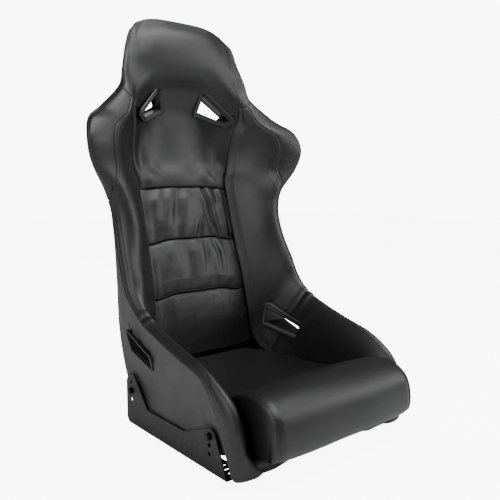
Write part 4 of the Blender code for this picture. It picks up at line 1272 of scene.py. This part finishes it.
def finish_solids():
    """Finishes for the solids that show as they are."""
    for name, node in NODES.items():
        if "bracket" in name:
            finish = POWDER
        elif name.endswith(("bolt", "washer", "spacer", "insert")):
            finish = OXIDE
        elif "strip" in name or "tag" in name or "cloth" in name:
            finish = TAPE
        else:
            continue
        for slot_at in node.material_slots:
            slot_at.material = finish


# ---------------------------------------------------------------- stage, light and camera

def make_floor():
    """A plain pale floor that looks white to the camera and doesn't light the seat from below."""
    bpy.ops.object.select_all(action="DESELECT")
    bpy.ops.mesh.primitive_plane_add(size=14, location=(0, 0, 0))
    floor = bpy.context.object
    floor.name = "studio_floor"
    material, tree, shader, spot = new_finish("Pale studio paint", "#f4f4f4", 0.9)
    mottle = add_node(tree, "ShaderNodeTexNoise", None, {"Vector": spot, "Scale": 3.0})
    tree.links.new(ramp(tree, mottle.outputs["Fac"], 0.88, 0.92), shader.inputs["Roughness"])
    shader.inputs["Emission Color"].default_value = (1, 1, 1, 1)
    seen = add_node(tree, "ShaderNodeLightPath").outputs["Is Camera Ray"]
    tree.links.new(ramp(tree, seen, 0.0, 8.0), shader.inputs["Emission Strength"])
    floor.data.materials.append(material)


def area_light(name, spot, aim, size, power):
    """A rectangular softbox at a spot, facing its aim."""
    data = bpy.data.lights.new(name, "AREA")
    data.shape = "RECTANGLE"
    data.size, data.size_y = size
    data.energy = power
    lamp = bpy.data.objects.new(name, data)
    bpy.context.scene.collection.objects.link(lamp)
    lamp.location = spot
    lamp.rotation_euler = (Vector(spot) - Vector(aim)).to_track_quat("Z", "Y").to_euler()


def make_light():
    """A backdrop that looks white and lights the seat only softly, and four softboxes."""
    world = bpy.data.worlds.new("Studio")
    world.use_nodes = True
    background = world.node_tree.nodes["Background"]
    background.inputs["Color"].default_value = (1, 1, 1, 1)
    seen = add_node(world.node_tree, "ShaderNodeLightPath").outputs["Is Camera Ray"]
    world.node_tree.links.new(ramp(world.node_tree, seen, 0.17, 9.0),
                              background.inputs["Strength"])
    bpy.context.scene.world = world
    area_light("left_softbox", (-2.3, -0.6, 1.5), (0, 0, 0.5), (0.9, 1.6), 34)
    area_light("rear_softbox", (0.6, 2.6, 1.6), (0, 0, 0.5), (1.6, 1.4), 34)
    area_light("top_softbox", (0.3, -0.9, 2.5), (0, 0, 0.4), (1.6, 1.0), 60)
    area_light("right_softbox", (2.2, -1.7, 1.5), (0.1, 0, 0.5), (0.9, 1.8), 40)


AZIMUTH, ELEVATION = -39.82, 6.375      # degrees, of the camera from the front of the seat
CAMERA_PLACE = (-0.8425, -1.0057 + ORIGIN_Y * MM, 0.5324)
LENS, SENSOR = 42.95, 36


def make_camera():
    """The camera, level across, looking down on the seat from its front left."""
    data = bpy.data.cameras.new("camera")
    data.lens = LENS
    data.sensor_width = SENSOR
    camera = bpy.data.objects.new("camera", data)
    bpy.context.scene.collection.objects.link(camera)
    azimuth, elevation = math.radians(AZIMUTH), math.radians(ELEVATION)
    back = Vector((math.sin(azimuth) * math.cos(elevation),
                   -math.cos(azimuth) * math.cos(elevation), math.sin(elevation)))
    right = Vector((math.cos(azimuth), math.sin(azimuth), 0))
    up = back.cross(right)
    turned = Matrix((right, up, back)).transposed().to_4x4()
    camera.matrix_world = Matrix.Translation(CAMERA_PLACE) @ turned
    bpy.context.scene.camera = camera


make_camera()
make_light()
make_floor()
finish_solids()
make_shell()
for side, sign in SIDES:
    make_thigh_bolster(side, sign)
    make_back_bolster(side, sign)
    make_wing(side, sign)
make_head()
make_front_lip()
make_back_cushion()
make_tag()
make_seat_cushion()
make_bezels()
make_stitches()
